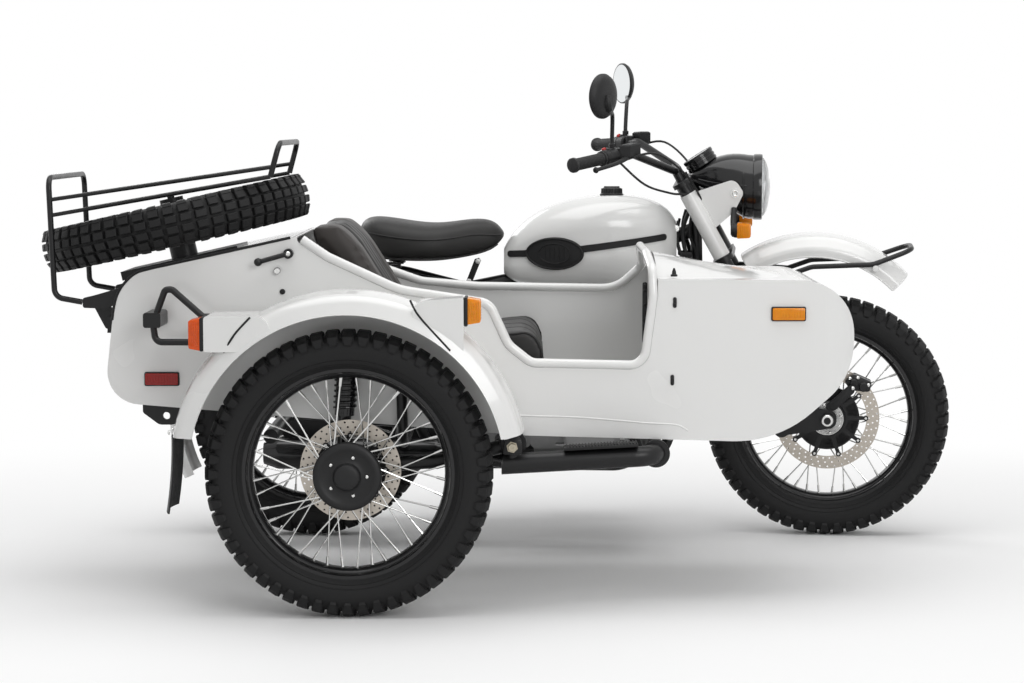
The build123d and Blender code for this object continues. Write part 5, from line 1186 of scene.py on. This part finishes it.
# Flashers on bent tubes below the lamp ears, with ribbed amber lenses, and the bolts that hold the headlamp in
# its ears and the guard bar on the mudguard.
lamp_y = 97.3       # outer face of the lamp ears
ear_bolt_rows = [(0, 0.013), (0.002, 0.013), (0.002, 0.009), (0.007, 0.0088), (0.008, 0.007), (0.006, 0.004),
                 (0.006, 0)]
flasher_rows = [(0, 0.0), (0, 0.012), (0.004, 0.0175), (0.012, 0.0200), (0.0185, 0.0205), (0.0185, 0)]
flasher_outline = rounded([(lamp_x - 42, lamp_z - 129, 3), (lamp_x - 4, lamp_z - 127, 7),
                           (lamp_x - 4, lamp_z - 89, 7), (lamp_x - 42, lamp_z - 87, 3)], 3)
bolt_parts, flasher_parts, flasher_glass = [], [], []
for side in (1, -1):
    bolt_parts.append(lathe(at(lamp_x - 50, side * 97.2, lamp_z - 10), (0, side, 0), ear_bolt_rows, 20))
    bolt_parts.append(lathe(at(1597, side * 92.5, 779), (0, side, 0), [(0, 0.009), (0.004, 0.0088), (0.005, 0)], 12))
    y0 = side * lamp_y
    flasher_parts.append(tube(eased([at(lamp_x - 52, y0, lamp_z - 52), at(lamp_x - 54, y0 + side * 20, lamp_z - 84),
                                     at(lamp_x - 52, y0 + side * 40, lamp_z - 104)], 5), 0.0082, 12))
    flasher_parts.append(lathe(at(lamp_x - 60, y0 + side * 58, lamp_z - 108), forward, flasher_rows, 28))
    flasher_glass.append(slab(flasher_outline, y0 + side * 38.5, y0 + side * 77.5, 2.0))
    for k in range(6):
        low, high = (at(lamp_x - 36 + 5 * k, y0 + side * 77.6, lamp_z - drop) for drop in (123, 93))
        flasher_glass.append(rod_mesh(low, high, 0.0009, 6))
bar_bolts = tidy_piece("fork_ear_bolts", bolt_steel, parked(bolt_parts))
flasher_piece = tidy_piece("flasher_bodies", black_plastic, parked(flasher_parts))
flasher_lens = tidy_piece("flasher_glass", amber, parked(flasher_glass))
fitted("steering", (bar_bolts, "disc"), (flasher_piece, "black_plastic", "flashers"),
       (flasher_lens, "amber", "flasher_lenses"))

# The front mudguard's rolled bead, along both edges and round its two ends.
# It is part of the same enamelled pressing.
fender_x, fender_z, fender_edge_r = 1426, 501, 307


def on_fender(turn, y, r):
    """A place at an angle and a radius about the front mudguard's centre."""
    return at(fender_x + r * math.cos(turn), y, fender_z + r * math.sin(turn))


fender_edge = []
for side in (1, -1):
    arc = [math.radians(44.5 + 79 * k / 30) for k in range(31)]
    fender_edge.append(tube([on_fender(turn, side * 76, fender_edge_r) for turn in arc], 0.0028, 8))
half_section = [(76, 308), (75, 326), (66, 345), (48, 359), (20, 364)]
section = [(-y, r) for y, r in half_section] + half_section[::-1]
for angle in (44.2, 123.8):
    line = [on_fender(math.radians(angle), y, r) for y, r in section]
    fender_edge.append(tube(eased(line, 3), 0.0026, 8))
fitted("steering", (tidy_piece("front_fender_bead", white_enamel, parked(fender_edge)), "white_paint"))

# Front brake: two-piston caliper on a slim plate over the disc, its torque arm, and the bright axle bolts.
# Cast and machined parts painted black, with plated bolts.
axle_x, axle_z, disc_y = 1470, 345.1, -45.5
caliper_rows = [(axle_x + 46, axle_z + 110, 8), (axle_x + 74, axle_z + 130, 8), (axle_x + 124, axle_z + 108, 8),
                (axle_x + 118, axle_z + 80, 8), (axle_x + 64, axle_z + 84, 10)]
brake_parts = [slab(rounded(caliper_rows, 4), disc_y - 5.5, disc_y - 27, 2.5),
               slab(rounded(caliper_rows, 4), disc_y + 5.5, disc_y + 14, 2.0)]
piston_rows = [(0, 0.0135), (0.006, 0.0130), (0.0085, 0.0105), (0.0085, 0)]
for x, z in ((74, 104), (100, 94)):
    brake_parts.append(lathe(at(axle_x + x, disc_y - 26, axle_z + z), (0, -1, 0), piston_rows, 28))
arm_rows = [(axle_x - 14, axle_z + 34, 8), (axle_x + 20, axle_z + 26, 10), (axle_x + 78, axle_z + 84, 8),
            (axle_x + 62, axle_z + 104, 8)]
brake_parts.append(slab(rounded(arm_rows, 4), -82.4, -88.5, 1.5))
brake_parts.append(lathe(at(axle_x + 70, -88.5, axle_z + 93), (0, 1, 0), [(0, 0.009), (0.020, 0.009)], 16))
brake_parts.append(lathe(at(axle_x, -68, axle_z), (0, 1, 0),
                         [(0, 0.020), (0, 0.046), (0.004, 0.050), (0.018, 0.052), (0.018, 0.02)], 48))
brake = tidy_piece("brake_caliper", black_satin, parked(brake_parts))
axle_nut_rows = [(0, 0.0168), (0.0055, 0.0168), (0.0075, 0.0150), (0.0078, 0.0)]
brake_bright = [lathe(at(axle_x, side * 94, axle_z), (0, side, 0), axle_nut_rows, 36) for side in (-1, 1)]
for x, z, y in ((62, 118, -72.5), (114, 100, -72.5), (84, 120, -72.5), (70, 93, -88.5)):
    brake_bright.append(screw(at(axle_x + x, y, axle_z + z), (0, -1, 0), 0.0056, 0.0042))
for k in range(8):
    turn = 2 * math.pi * (k + 0.3) / 8
    spot = at(axle_x + 40 * math.cos(turn), -67.5, axle_z + 40 * math.sin(turn))
    brake_bright.append(screw(spot, (0, -1, 0), 0.0045, 0.0035))
brake_bright.append(lathe(at(axle_x, -68.2, axle_z), (0, -1, 0),
                          [(0, 0.0440), (0.0012, 0.0445), (0.0012, 0.0460), (0, 0.0465), (0, 0.0440)], 56))
brake_bolts = tidy_piece("brake_bolts", bolt_steel, parked(brake_bright))
fitted("steering", (brake, "black_paint", "front_caliper"), (brake_bolts, "disc"))

# Loom between the tank and the steering head: five short rubber-covered runs, held in clips on the frame.
# They ride on the frame and stay clear of the fork as it turns.
loom_rows = (((1066, 20, 930), (1058, 34, 880), (1076, 42, 820), (1090, 38, 750), (1084, 34, 690)),
             ((1070, -16, 925), (1052, -34, 872), (1062, -44, 806), (1088, -40, 742), (1092, -36, 680)),
             ((1078, -8, 915), (1072, -38, 862), (1094, -46, 800), (1100, -42, 730), (1088, -38, 676)),
             ((1040, -24, 900), (1036, -40, 850), (1052, -48, 792), (1080, -46, 730)),
             ((1046, 10, 905), (1040, 36, 846), (1056, 46, 790), (1086, 44, 722)))
loom_radii = (0.0062, 0.0062, 0.0042, 0.0048, 0.0042)
loom_parts = [tube(eased([at(*spot) for spot in row], 6), radius, 10) for row, radius in zip(loom_rows, loom_radii)]
for x, y, z in ((1088, -42, 742), (1088, 40, 742), (1060, -44, 806), (1060, 44, 806)):
    loom_parts.append(slab(oblong(x - 16, x + 18, z - 7, z + 7, 3, 2), y - 7, y + 7, 1.5))
fitted("chassis", (tidy_piece("frame_loom", trim_rubber, loom_parts), "rubber"))

# Studio: a pale floor that fades to white away from the outfit, soft lamps overhead and at both sides, and the
# camera of the photograph. The floor keeps the outfit's own soft shadow.
def seen_directly(tree):
    """1 for camera, glossy and transmission rays, 0 for the rest."""
    path = add_node(tree, "ShaderNodeLightPath").outputs
    total = path["Is Camera Ray"]
    for ray in ("Is Glossy Ray", "Is Transmission Ray"):
        total = add_node(tree, "ShaderNodeMath", {0: total, 1: path[ray]}, operation="MAXIMUM").outputs["Value"]
    return total


world = bpy.data.worlds.new("studio")
bpy.context.scene.world = world
world.use_nodes = True
sky = world.node_tree
strength = add_node(sky, "ShaderNodeMapRange", {"Value": seen_directly(sky), "To Min": 0.40, "To Max": 1.0})
set_inputs(sky, sky.nodes["Background"], {"Color": (1, 1, 1, 1), "Strength": strength.outputs["Result"]})

floor_half = 14.0
floor_mesh = bpy.data.meshes.new("floor")
floor_mesh.from_pydata([(-floor_half, -floor_half, 0), (floor_half, -floor_half, 0), (floor_half, floor_half, 0),
                        (-floor_half, floor_half, 0)], [], [(0, 1, 2, 3)])
floor = bpy.data.objects.new("floor", floor_mesh)
bpy.context.scene.collection.objects.link(floor)
floor_finish = finish("studio_floor", (0.90, 0.90, 0.90), 0.7, mottle=0.004, size=1.0)
tree = floor_finish.node_tree
spot = add_node(tree, "ShaderNodeTexCoord").outputs["Object"]
flat = add_node(tree, "ShaderNodeVectorMath", {0: spot, 1: (0.62, 1.0, 0.0)}, operation="MULTIPLY")
reach = add_node(tree, "ShaderNodeVectorMath", {0: flat.outputs["Vector"]}, operation="LENGTH")
fade = add_node(tree, "ShaderNodeMapRange", {"Value": reach.outputs["Value"], "From Min": 0.7, "From Max": 2.6},
                interpolation_type="SMOOTHSTEP")
whiteness = add_node(tree, "ShaderNodeMath", {0: fade.outputs["Result"], 1: seen_directly(tree)},
                     operation="MULTIPLY")
glow = add_node(tree, "ShaderNodeEmission")
blend = add_node(tree, "ShaderNodeMixShader", {"Fac": whiteness.outputs["Value"], 2: glow.outputs["Emission"],
                                               1: tree.nodes["Principled BSDF"].outputs["BSDF"]})
set_inputs(tree, tree.nodes["Material Output"], {"Surface": blend.outputs["Shader"]})
floor_mesh.materials.append(floor_finish)


def soft_lamp(name, place, aim, width, depth, watts):
    """Large rectangular studio lamp."""
    light = bpy.data.lights.new(name, "AREA")
    light.shape = "RECTANGLE"
    light.size = width
    light.size_y = depth
    light.energy = watts
    lamp = bpy.data.objects.new(name, light)
    lamp.location = place
    lamp.rotation_euler = (Vector(aim) - Vector(place)).to_track_quat("-Z", "Y").to_euler()
    bpy.context.scene.collection.objects.link(lamp)


soft_lamp("lamp_above", (0.2, -0.6, 4.2), (0, 0, 0.4), 5.0, 3.2, 112)
soft_lamp("lamp_front", (2.2, -4.6, 2.6), (0, 0, 0.5), 2.6, 2.0, 78)
soft_lamp("lamp_back", (-2.6, 3.8, 2.8), (0, 0, 0.6), 2.6, 2.0, 50)

camera_data = bpy.data.cameras.new("camera")
camera_data.lens = 83.07
look_down, look_left = 0.0921, 0.0064
camera = bpy.data.objects.new("camera", camera_data)
camera.location = at(611.6, -6730.0, 1176.0)
camera.rotation_euler = (math.pi / 2 - look_down, 0, look_left)
bpy.context.scene.collection.objects.link(camera)
bpy.context.scene.camera = camera
bpy.context.scene.view_settings.view_transform = "Standard"
